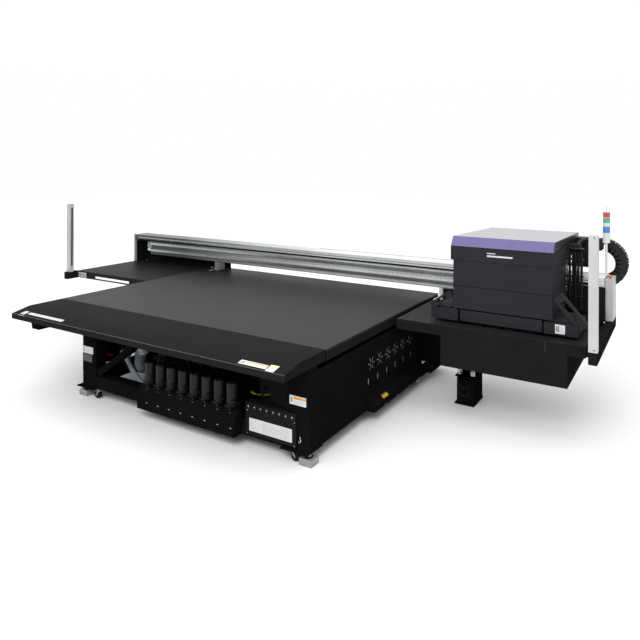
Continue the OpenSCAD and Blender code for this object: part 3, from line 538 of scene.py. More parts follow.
def curve_through(points, steps=8):
    """A smooth path through the points."""
    pts = [Vector(p) for p in points]
    pts = [2 * pts[0] - pts[1]] + pts + [2 * pts[-1] - pts[-2]]
    path = []
    for a, b, c, d in zip(pts, pts[1:], pts[2:], pts[3:]):
        for k in range(steps):
            t = k / steps
            path.append(0.5 * (2 * b + (c - a) * t + (2 * a - 5 * b + 4 * c - d) * t * t
                               + (3 * b - 3 * c + d - a) * t ** 3))
    return path + [pts[-2]]


def spread(a, b, count):
    """Evenly spaced numbers from a to b."""
    return [a + (b - a) * i / (count - 1) for i in range(count)]


def row(start, end, count):
    """Evenly spaced points from start to end."""
    a, b = Vector(start), Vector(end)
    return [a.lerp(b, part) for part in spread(0, 1, count)]


def label(name, body, material, centre, across, up, w, h):
    piece = Piece(name, body, "white_plastic", material)
    piece.plate(centre, across, up, w, h)
    piece.done()


def screws(name, body, slot, spots, direction, r=5.0, tall=3.0):
    piece = Piece(name, body, slot)
    for spot in spots:
        piece.screw(spot, direction, r, tall)
    piece.done()


def boxes(name, body, slot, sizes, material=None):
    """A piece made of boxes, each given as Piece.box takes it."""
    piece = Piece(name, body, slot, material)
    for size in sizes:
        piece.box(*size)
    piece.done()


# ---- CAD nodes: finishes and softened edges ----

EDGE = {"default": 0.0012, "gantry_legs": 0.0015, "table_plate": 0.0015, "carriage_shell": 0.0014,
        "light_posts": 0.002, "estop_box": 0.0015, "levelling_feet": 0.003, "station_stand": 0.0015,
        "front_cover": 0.0013}
PLAIN = ("drive_belt", "cable_chain", "vacuum_hoses")


def dress_nodes():
    slots = {s["node"]: s["material_slot"] for s in frame["record"]["subparts"]}
    for name, node in frame["nodes"].items():
        node.data.materials.clear()
        node.data.materials.append(OWN_FINISH.get(name, mats[slots[name]]))
        if name in PLAIN:
            continue
        weld = node.modifiers.new("weld", "WELD")
        weld.merge_threshold = 0.00002
        bevel = node.modifiers.new("bevel", "BEVEL")
        bevel.width = EDGE.get(name, EDGE["default"])
        bevel.segments = 2
        bevel.limit_method = "ANGLE"
        bevel.angle_limit = math.radians(35)
        bevel.harden_normals = False
        normal = node.modifiers.new("normal", "WEIGHTED_NORMAL")
        normal.keep_sharp = False


# ---- base: legs, ink tray, valve panel ----

panel_lo, panel_hi = span("valve_panel")
tray_lo, tray_hi = span("ink_tray")
bottle_lo, bottle_hi = span("ink_bottle_covers")
BOTTLES = 8
BOTTLE_R = (bottle_hi.y - bottle_lo.y) / 2
BOTTLE_Y = (bottle_hi.y + bottle_lo.y) / 2
COLUMN_W = 163
COLUMN_X = (-2246, -14 - COLUMN_W)   # left sides of the two front columns
FRONT_Y = -168                       # front faces of the columns
PAD_W, PAD_D = 95, 78                # a levelling pad


def legs():
    """Fittings of the front columns, and rubber round the levelling pads."""
    spots = [(x + dx, FRONT_Y, z) for x in COLUMN_X for dx in (16, COLUMN_W - 16) for z in (108, 458, 560)]
    screws("leg_bolts", "bed", "black_steel", spots, FRONT, 6, 4)
    face = FRONT_Y - 0.2
    label("leg_label_right", "bed", label_orange, (-99, face, 388), RIGHT, UP, 128, 56)
    label("leg_label_left", "bed", label_grey, (-2185, face, 370), RIGHT, UP, 130, 54)
    label("leg_label_low", "bed", label_dim, (-2185, face, 308), RIGHT, UP, 110, 64)
    hook = Piece("latch_hook", "bed", "zinc_steel")
    bend = [(-80, 2, 172), (-72, 12, 170), (-66, 14, 156), (-70, 12, 140), (-82, 9, 134), (-88, 3, 140)]
    hook.sweep(curve_through([(x, FRONT_Y - out, z) for x, out, z in bend], 5), 3.4, 10)
    hook.done()
    latch = Piece("latch_plate", "bed", "black_steel")
    latch.box((-92, FRONT_Y - 4, 128), (-64, FRONT_Y + 0.5, 180), 1.5)
    for x, z in ((-70, 174), (-86, 133)):
        latch.screw((x, FRONT_Y - 4, z), FRONT, 4, 2.5)
    latch.done()
    pad_lo, pad_hi = span("levelling_feet")
    rubber = Piece("pad_rubbers", "bed", "wheel_rubber")
    for x in (pad_lo.x, pad_hi.x - PAD_W):
        for y in (pad_lo.y, pad_hi.y - PAD_D):
            rubber.box((x + 1.5, y + 1.5, 0.2), (x + PAD_W - 1.5, y + PAD_D - 1.5, 5), 1.2)
            rubber.lathe((x + PAD_W / 2, y + PAD_D / 2, 44.2), UP, [(27, 0), (27, 3), (23, 5), (10.2, 5)], 28)
    rubber.done()


def bottles():
    """What surrounds the ink bottles on their tray."""
    collars = Piece("bottle_collars", "bed", "bottle_plastic")
    fittings = Piece("bottle_fittings", "bed", "zinc_steel")
    tubes = Piece("bottle_tubes", "bed", "hose_black")
    clips = Piece("tray_clips", "bed", "black_steel")
    y, r = BOTTLE_Y, BOTTLE_R
    shelf, face = tray_hi.z - 4, tray_lo.y - 1.5
    arch = [(24, -40, 2), (30, -50, 34), (46, -36, 56), (56, 0, 36), (58, 20, 2)]
    loop = [(-22, -40, 14), (-24, -50, 28), (-4, -56, 24), (18, -50, 6), (30, -46, -2)]
    for x in spread(bottle_lo.x + r, bottle_hi.x - r, BOTTLES):
        foot = [(r + 0.3, 0), (r + 2, 2), (r + 2, 11), (r + 0.3, 14)]
        collars.lathe((x, y, bottle_lo.z + 8), UP, foot, 48)
        cap = [(r - 14, 0), (r - 16, 2), (12, 2), (10, 0.6), (0, 0.6)]
        collars.lathe((x, y, bottle_hi.z - 0.3), UP, cap, 40)
        for k in range(10):
            a = 2 * math.pi * k / 10
            spot = Vector((x + (r + 1.4) * math.cos(a), y + (r + 1.4) * math.sin(a), bottle_lo.z + 15))
            collars.box(spot - Vector((2, 2, 0)), spot + Vector((2, 2, 8)), 0.6, 1)
        fittings.lathe((x + 22, y - 44, shelf + 2), UP, [(5, 0), (5, 5), (3, 6), (3, 16), (0, 17)], 6)
        fittings.screw((x + 34, -221.5, 223), (0, -0.85, 0.53), 2.6, 2)
        for route, radius, segments in ((arch, 6, 10), (loop, 3.2, 8)):
            points = [(x + dx, y + dy, shelf + dz) for dx, dy, dz in route]
            tubes.sweep(curve_through(points, 5), radius, segments)
        clips.lathe((x - 24, y - 40, shelf + 1), UP, [(9, 0), (9, 8), (6, 9), (6, 20), (4, 21), (0, 21)], 12)
        for dx, dy in ((-34, 8), (34, 10)):
            clips.box((x + dx - 7, y + dy - 16, shelf), (x + dx + 7, y + dy + 6, shelf + 24), 2)
        for dx in (-8, 32):
            clips.box((x + dx, face, 166), (x + dx + 5, face + 3.5, 190), 0.8)
        clips.box((x - 8, face, 162), (x + 37, face + 3.5, 167), 0.8)
        clips.box((x - 12, y + 46, shelf), (x + 12, y + 58, shelf + 66), 1)
    for piece in (collars, fittings, tubes, clips):
        piece.done()
    boxes("tray_screws", "bed", "zinc_steel",
          [((x - 7, tray_lo.y - 1.2, 130), (x + 7, tray_lo.y + 1, 134), 0.6, 1)
           for x in spread(-1401, -592, BOTTLES)])


def valves():
    """The chart beside the levers, the panel's folded edge and a cap on each lever."""
    y = panel_lo.y
    label("valve_label", "bed", label_chart, (-308, y - 0.2, 164), RIGHT, UP, 348, 84)
    spots = [(x, y, z) for x in (-500, -116) for z in (104, 252)]
    screws("panel_screws", "bed", "zinc_steel", spots, FRONT, 3, 2)
    boxes("valve_panel_trim", "bed", "dark_sheet",
          [((panel_lo.x, y - 4, panel_hi.z - 3), (panel_hi.x, y + 60, panel_hi.z + 2), 1),
           ((panel_hi.x - 5, y - 4, panel_lo.z), (panel_hi.x, y + 8, panel_hi.z - 3), 1)])
    for i in range(LEVERS):
        lo, hi = span("valve_lever_%d" % (i + 1))
        knob = Piece("lever_cap_%d" % (i + 1), "lever_%d" % (i + 1), "zinc_steel")
        knob.lathe(((lo.x + hi.x) / 2, lo.y, hi.z - 6.5), FRONT,
                   [(4.8, 0), (4.8, 1.5), (4, 3), (2.4, 3), (2, 1.6), (0, 1.6)], 20)
        knob.done()


def ribbed(radius, depth, pitch):
    """The radius of a corrugated hose as a function of the distance along it."""
    return lambda run: radius + depth * math.cos(2 * math.pi * run / pitch)


def left_bay():
    """What shows through the open bay."""
    duct = Piece("vacuum_duct", "bed", "hose_plastic", duct_shaded_paint)
    route = [(-1800, 480, 330), (-1795, 300, 270), (-1785, 110, 226), (-1770, 10, 270), (-1745, 0, 400),
             (-1700, 70, 520), (-1690, 300, 545), (-1690, 640, 556)]
    duct.sweep(curve_through(route, 60), ribbed(44, 2.2, 16), 24)
    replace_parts(duct.done(60), "vacuum_hoses")
    drain = Piece("drain_hose", "bed", "hose_plastic")
    route = [(-1985, 0, 350), (-1917, 0, 280), (-1830, 0, 186), (-1740, 0, 130), (-1680, 24, 112)]
    drain.sweep(curve_through(route, 40), ribbed(19, 1.2, 9), 18)
    drain.done(60)
    bands = Piece("duct_bands", "bed", "white_paint")
    bands.lathe((-1785, 105, 228), (0.1, 0.8, 0.3), [(47, -7), (48, -6), (48, 6), (47, 7)], 32)
    bands.lathe((-1747, 2, 392), UP, [(46.5, -24), (48, -22), (48, 22), (46.5, 24)], 32)
    bands.done()
    # A black sheet behind the bottles as painted shade, hiding the lit parts deeper in the bay.
    boxes("bay_shade_sheet", "bed", "cabinet_paint", [((-1545, 62, 120), (-600, 65, 540), 1)])
    cables = Piece("bay_cables", "bed", "hose_black")
    for k in range(6):
        y, drop = 34 + 12 * k, rng.uniform(-20, 20)
        route = [(-2060, y, 300 + drop), (-1960, y - 20, 230 + drop), (-1860, y, 196 + 6 * k),
                 (-1740, y + 10, 210 + drop), (-1640, y, 260 + drop), (-1560, y + 20, 330 + drop)]
        cables.sweep(curve_through(route), 6 + k % 3, 10)
    rise = [(-60, -60, 380), (-40, -80, 440), (10, -90, 462), (60, -78, 436), (80, -50, 370)]
    for x in (-1230, -1100, -970):
        cables.sweep(curve_through([(x + dx, y, z) for dx, y, z in rise]), 9, 10)
    cables.done(60)
    valve = Piece("red_valve", "bed", "button_plastic", red_paint)
    valve.box((-2200, -16, 292), (-2096, -6, 304), 3, 3)
    valve.lathe((-2150, -11, 286), UP, [(11, 0), (12, 2), (12, 18), (9, 22), (0, 22)], 20)
    valve.done()
    knob = Piece("pressure_knob", "bed", "zinc_steel")
    dial = [(10, -60), (10, 0), (19, 2), (20, 5), (20, 18), (17, 22), (0, 22)]
    knob.lathe((-1981, 10, 342), FRONT, dial, 24)
    knob.lathe((-2010, 10, 320), UP, [(12, 0), (12, 8), (8, 9), (8, 30), (0, 30)], 6)
    knob.box((-2060, 30, 300), (-1930, 44, 372), 2)
    knob.done()
    bracket = Piece("bay_bracket", "bed", "cabinet_paint")
    outline = [(-505, 318), (-440, 318), (-400, 392), (-408, 396), (-446, 326), (-505, 326)]
    bracket.prism(outline, 1, -110, -100, 1)
    bracket.done()
    pipe = Piece("bay_pipe", "bed", "lamp_plastic", yellow_hose)
    route = [(-560, -70, 322), (-510, -84, 318), (-455, -80, 322), (-420, -50, 326)]
    pipe.sweep(curve_through(route), 7, 12)
    pipe.done(60)


VENTS = 6
VENT_Y, VENT_Z = 622, 403            # centre of the first star-shaped vent
VENT_STEP = 131
SLIT_STEP = 144
PANEL_X = -10                        # outer face of the right side panel


def right_side():
    """Fan plates behind the vents, the yellow label and the panel's screws."""
    fans = Piece("vent_fans", "bed", "zinc_steel", fan_paint)
    guards = Piece("vent_guards", "bed", "hose_black")
    for i in range(VENTS):
        y = VENT_Y + VENT_STEP * i
        fans.lathe((PANEL_X - 7, y, VENT_Z), RIGHT, [(56, 0), (56, 2.5), (12, 3.2), (0, 3.2)], 40)
        for r in (22, 34, 46):
            guards.hoop((PANEL_X - 3.6, y, VENT_Z), BACK, r, 1.1, 36)
        slit = 577 + SLIT_STEP * i
        fans.box((PANEL_X - 7, slit - 12, 250), (PANEL_X - 4, slit + 12, 308), 0.5)
    fans.done()
    guards.done()
    spots = [(PANEL_X, y, z) for z in (96, 560) for y in (-150, 130, 410, 690, 970, 1250, 1460)]
    screws("side_screws", "bed", "black_steel", spots, RIGHT, 5, 2.4)
    slope = Vector((70, 0, -58)).normalized()
    label("side_label", "bed", label_amber, Vector((38, 740, 136.7)), slope, BACK, 32, 84)
    catch = Piece("service_box_catch", "bed", "white_plastic")
    catch.prism([(10, 170), (48, 176), (10, 131)], 1, 1473, 1476, 0.3)
    catch.done()
    boxes("service_box_lip", "bed", "black_steel", [((-9, 560, 176.5), (-4, 1460, 186), 1)])


def cover_marks():
    """Plates, badge and screws on the front cover, and grey strips along its folds as painted highlights."""
    up = Vector((0, 146, 34)).normalized()
    y, z = -392, 655.5
    label("cover_label_long", "bed", label_orange, (-268, y, z), RIGHT, up, 215, 40)
    label("cover_label_square", "bed", label_yellow, (-122, y, z), RIGHT, up, 62, 66)
    badge = Piece("cover_badge", "bed", "white_plastic", badge_paint)
    badge.plate((-2672, y, z), RIGHT, up, 56, 50, 0.8, 9)
    badge.plate((-2395, y + 4, z + 0.9), RIGHT, up, 450, 30, 0.8, 8)
    badge.plate((-2655, y - 40, z - 9.3), RIGHT, up, 90, 5, 0.8, 2)
    badge.done()
    # Painted highlights: thin grey strips along the table's front edge and the cover's upper fold.
    boxes("fold_highlight_strips", "bed", "rail_steel",
          [((-2788, -2.2, TOP_Z - 0.6), (-2, -0.6, TOP_Z + 0.3), 0.2, 1),
           ((-2788, -431.9, 645.6), (-2, -427, 647.5), 0.3, 1)],
          highlight_line_paint)
    spots = row((-2700, -276, TOP_Z), (-90, -276, TOP_Z), 10)
    screws("cover_screws", "bed", "black_steel", spots, UP, 5, 0.6)


# ---- gantry ----

beam_lo, beam_hi = span("gantry_beam")
rail_lo, rail_hi = span("carriage_rails")
estop_lo, estop_hi = span("estop_box")


def beam_details():
    """Small parts on the beam and its legs."""
    face, groove = beam_lo.y, beam_lo.y + 24
    bolts = Piece("rail_bolts", "gantry", "zinc_steel")
    for z in (rail_lo.z + 12, rail_hi.z - 12):
        for spot in row((rail_lo.x + 20, rail_lo.y, z), (rail_hi.x - 20, rail_lo.y, z), 64):
            bolts.lathe(spot, FRONT, [(4.6, 0), (4.6, 0.5), (3.4, 0.5), (3.4, 0.1), (0, 0.1)], 8)
    for spot in row((beam_lo.x + 200, face, 968), (beam_hi.x - 60, face, 968), 24):
        bolts.screw(spot, FRONT, 4.5, 3)
    bolts.done()
    boxes("belt_end_cover", "gantry", "white_plastic",
          [((1376, face - 1.4, 940), (1465, face - 0.2, 966), 0.4, 1)])
    boxes("reading_scale", "gantry", "rail_steel",
          [((beam_lo.x + 60, face - 0.6, 976), (beam_hi.x - 30, face + 0.4, 984), 0.2, 1)])
    holes = Piece("lower_holes", "gantry", "chain_plastic")
    for spot in row((-1500, groove, 874), (1300, groove, 874), 60):
        holes.lathe(spot, FRONT, [(3.2, -1), (3.2, 0.4), (0, 0.4)], 8)
    holes.done()
    stops = Piece("rail_end_stops", "gantry", "zinc_steel")
    stop = [(17, 0), (17, 16), (12, 18), (12, 8), (5, 8), (5, 20), (0, 20)]
    for dx, z in ((-36, 872), (-4, 868), (-40, 906)):
        stops.lathe((rail_lo.x + dx, groove, z), FRONT, stop, 24)
    stops.box((rail_lo.x - 70, groove, 826), (rail_lo.x - 6, groove + 10, 930), 2)
    stops.done()
    ends = Piece("beam_end_bolts", "gantry", "zinc_steel")
    for z in (930, 990, 860, 700):
        for y in (face + 60, beam_hi.y - 30):
            ends.screw((beam_lo.x - 18, y, z), LEFT, 6, 4)
    for z in (820, 930, 990):
        for y in (face + 40, beam_hi.y - 30):
            if not estop_lo.y < y < estop_hi.y:
                ends.screw((beam_hi.x + 7, y, z), RIGHT, 5, 2)
    ends.done()
    boxes("beam_back_slots", "gantry", "beam_aluminium",
          [((beam_lo.x + 1400, beam_hi.y, z - 9), (beam_hi.x - 20, beam_hi.y + 0.8, z + 9), 0.3, 1)
           for z in (850, 930, 990)])
    feet = Piece("leg_screws", "gantry", "zinc_steel")
    for x, z in ((-2616, 695), (82, 690), (1384, 690)):
        for y in (face + 15, face + 60):
            feet.lathe((x, y, z), UP, [(7, 0), (7, 5), (4, 6), (0, 6)], 6)
    feet.done()


POST_W = 56


def wings():
    """The wing's plate and screws, and the light posts' sensors and caps."""
    label("wing_label", "gantry", label_tan, (-3842, 892.8, 640), RIGHT, UP, 150, 52)
    spots = [(x, y, TOP_Z) for x in (-3906, -2820) for y in (930, 1200, 1480, 1760)]
    screws("wing_screws", "gantry", "black_steel", spots, UP, 5, 1.2)
    post_lo, post_hi = span("light_posts")
    sensors = Piece("post_sensors", "gantry", "black_steel")
    caps = Piece("post_caps", "gantry", "white_plastic")
    y, left, right = post_lo.y, post_lo.x, post_hi.x - POST_W
    for x, edge, face, way in ((left, POST_W - 3, POST_W + 0.3, RIGHT), (right, -0.3, -0.3, LEFT)):
        sensors.box((x + edge, y + 17, 746), (x + edge + 3.3, y + 33, 1384), 0.4, 1)
        for z in spread(770, 1360, 22):
            sensors.lathe((x + face, y + 25, z), way, [(2.6, -1), (2.6, 0), (0, 0.2)], 10)
        caps.box((x + 1, y + 1, 1425.5), (x + POST_W - 1, post_hi.y - 1, 1428), 0.9)
    sensors.done()
    caps.done()
    spots = [(x + 35, y, z) for x in (left, right) for z in (696, 1410)]
    screws("post_screws", "gantry", "hose_black", spots, FRONT, 4.6, 0.8)
    spots = [(post_hi.x - 2, y, 640) for y in (830, 1100, 1400, 1700)]
    screws("arm_screws", "gantry", "black_steel", spots, RIGHT, 6, 3)


def station():
    """Small parts on the right station, its e-stop box and its stand."""
    lo = span("station_shell")[0]
    spots = [(x, lo.y, 640) for x in (90, 330, 600, 880, 1150, 1215, 1420)]
    screws("station_screws", "gantry", "black_steel", spots, FRONT, 4.5, 1.5)
    boxes("station_trim", "gantry", "dark_sheet",
          [((lo.x + 0.5, lo.y - 0.6, 603.5), (1180, lo.y + 0.5, 607), 0.3, 1),
           ((424, lo.y + 0.3, 384), (1327, lo.y + 1.5, 388), 0.3, 1)])
    # A grey line down the joint in the station's front, a painted highlight on the panel's edge.
    boxes("station_joint_highlight", "gantry", "dark_sheet",
          [((1182.2, lo.y - 0.4, 606), (1184.4, lo.y + 0.3, 678), 0.2, 1)], highlight_line_paint)
    collar = Piece("estop_collar", "gantry", "white_plastic", grey_collar)
    collar.lathe((estop_lo.x + 27, estop_lo.y + 45, estop_hi.z), UP,
                 [(6.5, 0.2), (6.5, 2.4), (21, 2.4), (23, 1.4), (23, 0.2)], 32)
    collar.done()
    spots = [(estop_lo.x + 8, estop_lo.y + 0.5, z) for z in (711, 891)]
    screws("estop_screws", "gantry", "hose_black", spots, FRONT, 3.6, 1.6)
    stand_lo, stand_hi = span("station_stand")
    nuts = Piece("stand_nuts", "bed", "zinc_steel")
    for x in (stand_lo.x + 30, stand_hi.x - 24):
        for y in (stand_lo.y + 40, stand_hi.y - 40):
            for z in (226.5, 244.5):
                nuts.lathe((x, y, z), UP, [(19.6, 0), (19.6, 11), (18, 12.5), (10.4, 12.5)], 6)
            nuts.lathe((x, y, 258), UP, [(10.5, 0), (10.5, 118)], 20)
    nuts.done()
    loops = Piece("stand_loops", "bed", "hose_black")
    route = [(34, 8, 176), (40, 1, 150), (78, -4, 132), (112, 1, 148), (120, 8, 174)]
    for drop in (0, 62):
        points = [(stand_lo.x + dx, stand_lo.y + dy, z - drop) for dx, dy, z in route]
        loops.sweep(curve_through(points), 5, 12)
    loops.done(60)


CHAIN_R = 194                        # outer radius of the chain's loop
CHAIN_T = 96                         # height of one link
chain_lo, chain_hi = span("cable_chain")
loop_x, loop_z = round(chain_hi.x - CHAIN_R), round(chain_hi.z - CHAIN_R)


def add_link(piece, centre, angle, length):
    """One link at centre, turned by angle in the x-z plane: side plates, bosses, bars and two cables."""
    half, wide, cut = CHAIN_T / 2, (chain_hi.y - chain_lo.y) / 2, 5
    start = len(piece.bm.verts)
    ends, corner = length / 2, length / 2 - cut
    outline = [(-ends, -half + cut), (-corner, -half + 1), (corner, -half + 1), (ends, -half + cut),
               (ends, half - cut), (corner, half - 1), (-corner, half - 1), (-ends, half - cut)]
    boss = [(13, 0), (13, 1.2), (9, 1.4), (0, 1.4)]
    for side in (-1, 1):
        a, b = sorted((side * (wide - 7), side * wide))
        piece.prism(outline, 1, a, b, 0.8)
        piece.lathe((-ends + 6, side * (wide - 1.5), 0), (0, side, 0), boss, 16)
    for h in (-half + 5, half - 9):
        piece.box((-length * 0.28, -wide + 2, h), (length * 0.28, wide - 2, h + 7), 1.5)
    for k in (-0.3, 0.2):
        piece.sweep([(x, wide * k * 1.6, -4 + 40 * k) for x in (-ends - 1, ends + 1)], 13, 10)
    along = Vector((math.cos(angle), 0, math.sin(angle)))
    out = Vector((math.sin(angle), 0, -math.cos(angle)))
    middle = Vector((centre[0], (chain_lo.y + chain_hi.y) / 2, centre[1]))
    piece.bm.verts.ensure_lookup_table()
    for v in piece.bm.verts[start:]:
        u, w, h = v.co
        v.co = middle + along * u + out * h + Vector((0, w, 0))


def chain():
    """The cable chain link by link: its loop, then its lower run, then the start of its upper run."""
    piece = Piece("chain_links", "gantry", "chain_plastic")
    middle = CHAIN_R - CHAIN_T / 2
    pitch = math.radians(15) * middle
    for k in range(11):
        a = math.radians(-90 + 15 * (k + 0.5))
        centre = (loop_x + middle * math.cos(a), loop_z + middle * math.sin(a))
        add_link(piece, centre, a + math.pi / 2, pitch * 1.16)
    for x in spread(chain_lo.x + pitch / 2, loop_x - pitch / 2, 73):
        add_link(piece, (x, loop_z - middle), 0, pitch * 1.02)
    for x in (1340, 1398):
        add_link(piece, (x, loop_z + middle - 0.5), math.pi, pitch * 1.4)
    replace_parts(piece.done(), "cable_chain")


# ---- carriage ----

car_lo, car_hi = span("carriage_lid")
house_lo, house_hi = span("lamp_housings")
BODY_R = 1210                        # the body's right side, below the hood


def hood():
    """Small parts on the carriage's body and its low housings."""
    boxes("hood_seams", "carriage", "hose_black",
          [((483, 996.3, 962), (1209, 997.4, 970), 0.2, 1),
           ((463, 992.4, 1261.5), (1215, 993.4, 1263.6), 0.2, 1),
           ((BODY_R - 0.4, 1000, 965), (BODY_R + 0.5, 1570, 969), 0.2, 1)])
    badge = Piece("hood_badge", "carriage", "white_plastic", badge_paint)
    badge.plate((838, car_lo.y, 1206), RIGHT, UP, 190, 12, 0.9, 5)
    badge.plate((775, car_lo.y, 1226), RIGHT, UP, 64, 7, 0.9, 3)
    badge.done()
    spots = [(x, 1009.5, 1286) for x in (650, 910, 1150)]
    screws("lid_screws", "carriage", "hose_black", spots, (0, -0.81, 0.59), 3.4, 1)
    column = Piece("side_fasteners", "carriage", "zinc_steel")
    for k, z in enumerate(spread(822, 1140, 12)):
        column.screw((BODY_R, 1500 + (k % 2) * 9, z), RIGHT, 6, 4)
        if k % 3 == 0:
            column.box((BODY_R, 1485, z + 8), (BODY_R + 4, 1522, z + 18), 1)
    column.done()
    for name, x in (("hood_side_panel_r", car_hi.x), ("hood_side_panel_l", car_lo.x - 2)):
        boxes(name, "carriage", "carriage_paint", [((x, 1040, 1174), (x + 2, 1900, 1250), 1)])
    face = house_lo.y
    label("housing_label", "carriage", label_tall, (1262, face - 0.2, 746), RIGHT, UP, 66, 66)
    trim = Piece("housing_trim", "carriage", "carriage_paint")
    for x0, x1 in ((house_lo.x, 520), (1152, house_hi.x)):
        for z in (704, 776):
            trim.box((x0 + 4, face - 2.2, z), (x1 - 4, face, z + 4), 0.5, 1)
        trim.box((x0 + 20, 1020, 782), (x1 - 60, 1300, 796), 2)
    for x in (544, 1130):
        for z in (716, 776):
            trim.lathe((x, 998, z), FRONT, [(5, -1), (5, 2), (3, 3), (0, 3)], 12)
    trim.done()


TUBES = 5


def hoses():
    """Hose bundle down the carriage's right side, with its shelves, ties and the chain's bracket."""
    lo, hi = span("ink_tubes")
    bundle = Piece("ink_hoses", "carriage", "hose_black")
    for i in range(TUBES):
        x, y = BODY_R + 26 + 21 * i, 1500 + 12 * (i % 2)
        bend = 4 * math.sin(i * 1.7)
        route = [(x - 6 * i, y + 60, 1262), (x - 3 * i, y + 30, 1238), (x, y + bend, 1150),
                 (x + bend, y, 1000), (x - bend, y, 880), (x, y, 790)]
        bundle.sweep(curve_through(route, 10), 10, 14)
    bundle.box((BODY_R + 1, lo.y, lo.z), (hi.x, 1530, lo.z + 13), 2)
    bundle.box((car_hi.x + 1, lo.y, 1231), (hi.x, 1530, 1241), 2)
    bundle.box((car_hi.x + 6, chain_lo.y - 8, 1046), (1328, chain_hi.y + 12, 1282), 3)
    bundle.box((lo.x, chain_lo.y - 8, 1046), (car_hi.x + 7, chain_hi.y + 12, 1059), 1.5)
    for z in (870, 1020, 1150):
        bundle.box((BODY_R + 1, lo.y + 2, z), (hi.x, 1528, z + 9), 2)
    route = [(1290, 1852, 1260), (1285, 1790, 1268), (1266, 1710, 1244), (1252, 1620, 1226)]
    bundle.sweep(curve_through(route), 18, 14)
    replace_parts(bundle.done(), "ink_tubes")


def handles():
    """Rounded edges on the two slanted handles: right from its top end down, left likewise."""
    grip = Piece("handle_edges", "carriage", "carriage_paint")
    for top, foot, side, offsets, start, length, wire in (
            ((1214, 941), (1391, 741), 1, (3, 72), 10, 225, 3.2),
            ((480, 880), (318, 768), -1, (3, 47), 8, 170, 2.6)):
        a, b = Vector((top[0], 999, top[1])), Vector((foot[0], 999, foot[1]))
        along = (b - a).normalized()
        for off in offsets:
            edge = a + side * off * Vector((-along.z, 0, along.x))
            grip.sweep([edge + along * start, edge + along * length], wire, 10)
    grip.done()


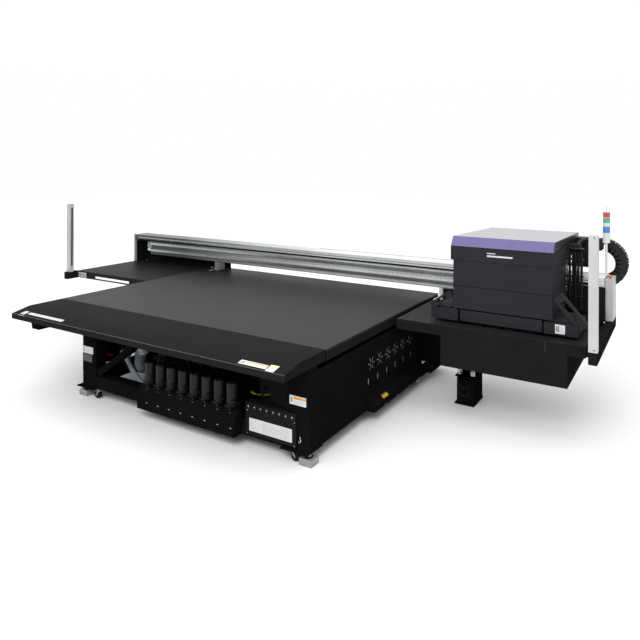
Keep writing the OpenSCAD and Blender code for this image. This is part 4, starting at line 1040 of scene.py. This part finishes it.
def rear():
    """Doors, louvres, the power socket, conduits and fans that face backwards."""
    back = span("control_cabinet")[1].y
    y = back - 6
    doors = Piece("cabinet_doors", "bed", "cabinet_paint")
    for x0, x1 in ((-880, -410), (-150, 80)):
        doors.box((x0, y, 100), (x1, y + 2.5, 466), 1)
        for z in spread(130, 210, 6):
            doors.box((x0 + 30, y + 2, z), (x1 - 30, y + 5, z + 6), 1)
    doors.done()
    fittings = Piece("cabinet_fittings", "bed", "zinc_steel")
    for x in (-430, -110):
        fittings.lathe((x, y + 2.5, 320), BACK, [(11, 0), (11, 2.5), (5, 3), (0, 3)], 20)
        fittings.box((x - 1.5, y + 4, 313), (x + 1.5, y + 5.8, 327), 0.3, 1)
    for x in (-872, -420, -140, 70):
        for z in (110, 456):
            fittings.screw((x, y + 2.5, z), BACK, 4.5, 2)
    fittings.done()
    socket = Piece("power_socket", "bed", "cap_plastic")
    x, z = -300, 280
    socket.box((x - 34, back - 3, z - 34), (x + 34, back - 0.4, z + 34), 1)
    for dx, dz in ((-12, -6), (12, -6), (0, 12)):
        pin = [(4, 0), (4, 0.3), (2.5, 0.3), (2.5, 0.1), (0, 0.1)]
        socket.lathe((x + dx, back - 0.6, z + dz), BACK, pin, 12)
    socket.done()
    conduits = Piece("rear_conduits", "bed", "hose_black")
    for k, x in enumerate((-980, -1040, -1100)):
        route = [(-902, 1560 + 60 * k, 400), (x, 1540 + 50 * k, 380),
                 (x - 20, 1500, 300), (x - 10, 1484, 230)]
        conduits.sweep(curve_through(route, 30), ribbed(13, 1.2, 8), 12)
    conduits.done(60)
    fan_xs, fan_z, y = (610, 839, 1068), 1212, car_hi.y
    boxes("hood_fans", "carriage", "hose_black",
          [((x - 46, y - 2, fan_z - 44), (x + 46, y - 0.8, fan_z + 44), 0.4, 1) for x in fan_xs])
    guards = Piece("hood_fan_guards", "carriage", "zinc_steel")
    for x in fan_xs:
        for r in (12, 22, 32, 42):
            guards.hoop((x, y - 0.9, fan_z), RIGHT, r, 0.8, 32)
    guards.done()
    junction = Piece("beam_junction", "gantry", "chain_plastic")
    y = beam_hi.y
    junction.box((-1700, y, 850), (-1460, y + 60, 980), 3)
    for k in range(4):
        route = [(-1470, y + 30, 870 + 18 * k), (-1430, y + 36, 880 + 14 * k), (-1385, y + 50 + 10 * k, 912)]
        junction.sweep(curve_through(route, 6), 7, 10)
    junction.done()
    lo, hi = span("station_shell")
    boxes("station_rear_doors", "gantry", "dark_sheet",
          [((x0, hi.y, 610), (x1, hi.y + 1.6, 670), 0.6, 1)
           for x0, x1 in ((lo.x + 20, 520), (540, 980), (1000, hi.x - 20))])
    spots = [(x, hi.y + 1.6, z) for x in (lo.x + 32, 508, 552, 968, 1012, hi.x - 32) for z in (618, 662)]
    screws("station_rear_screws", "gantry", "zinc_steel", spots, BACK, 3.5, 1.6)


for build in (legs, bottles, valves, left_bay, right_side, cover_marks, beam_details, wings, station, chain,
              hood, hoses, handles, rear):
    build()

camera()
dress_nodes()

# ---- floor, sky and light ----

FLOOR = 30                           # half the floor's width, in metres
corners = [(-FLOOR, -FLOOR, 0), (FLOOR, -FLOOR, 0), (FLOOR, FLOOR, 0), (-FLOOR, FLOOR, 0)]
floor_mesh = bpy.data.meshes.new("floor")
floor_mesh.from_pydata(corners, [], [range(4)])
floor = bpy.data.objects.new("floor", floor_mesh)
pale = plain("floor_pale", (0.86, 0.86, 0.86), (0.7, 0.8), 0, 0.01, 0.5, 40, 0.02, wear=0, dust=0)
floor_mesh.materials.append(pale)
bpy.context.collection.objects.link(floor)

world = bpy.data.worlds.new("studio")
world.use_nodes = True
bpy.context.scene.world = world


def sky():
    """White behind the machine, brightest overhead, and dimmer on the operator's side."""
    tree = world.node_tree
    tree.nodes["Background"].inputs["Color"].default_value = (1, 1, 1, 1)
    ways = tree.nodes.new("ShaderNodeSeparateXYZ")
    tree.links.new(tree.nodes.new("ShaderNodeTexCoord").outputs["Generated"], ways.inputs[0])

    def eased(axis, low, high, a, b):
        made = tree.nodes.new("ShaderNodeMapRange")
        made.interpolation_type = "SMOOTHSTEP"
        plug(tree, made.inputs["Value"], ways.outputs[axis])
        for key, value in (("From Min", low), ("From Max", high), ("To Min", a), ("To Max", b)):
            plug(tree, made.inputs[key], value)
        return made.outputs["Result"]

    horizon = eased("X", 0.2, 0.8, eased("Y", -0.5, 0.25, 0.34, 1.0), 0.3)
    tree.links.new(eased("Z", 0.12, 0.75, horizon, 1.45), tree.nodes["Background"].inputs["Strength"])


sky()
bpy.context.scene.view_settings.view_transform = "Standard"
soft_light("key", at(600, -3600, 4200), at(-1200, 700, 600), (3.5, 2.5), 160)
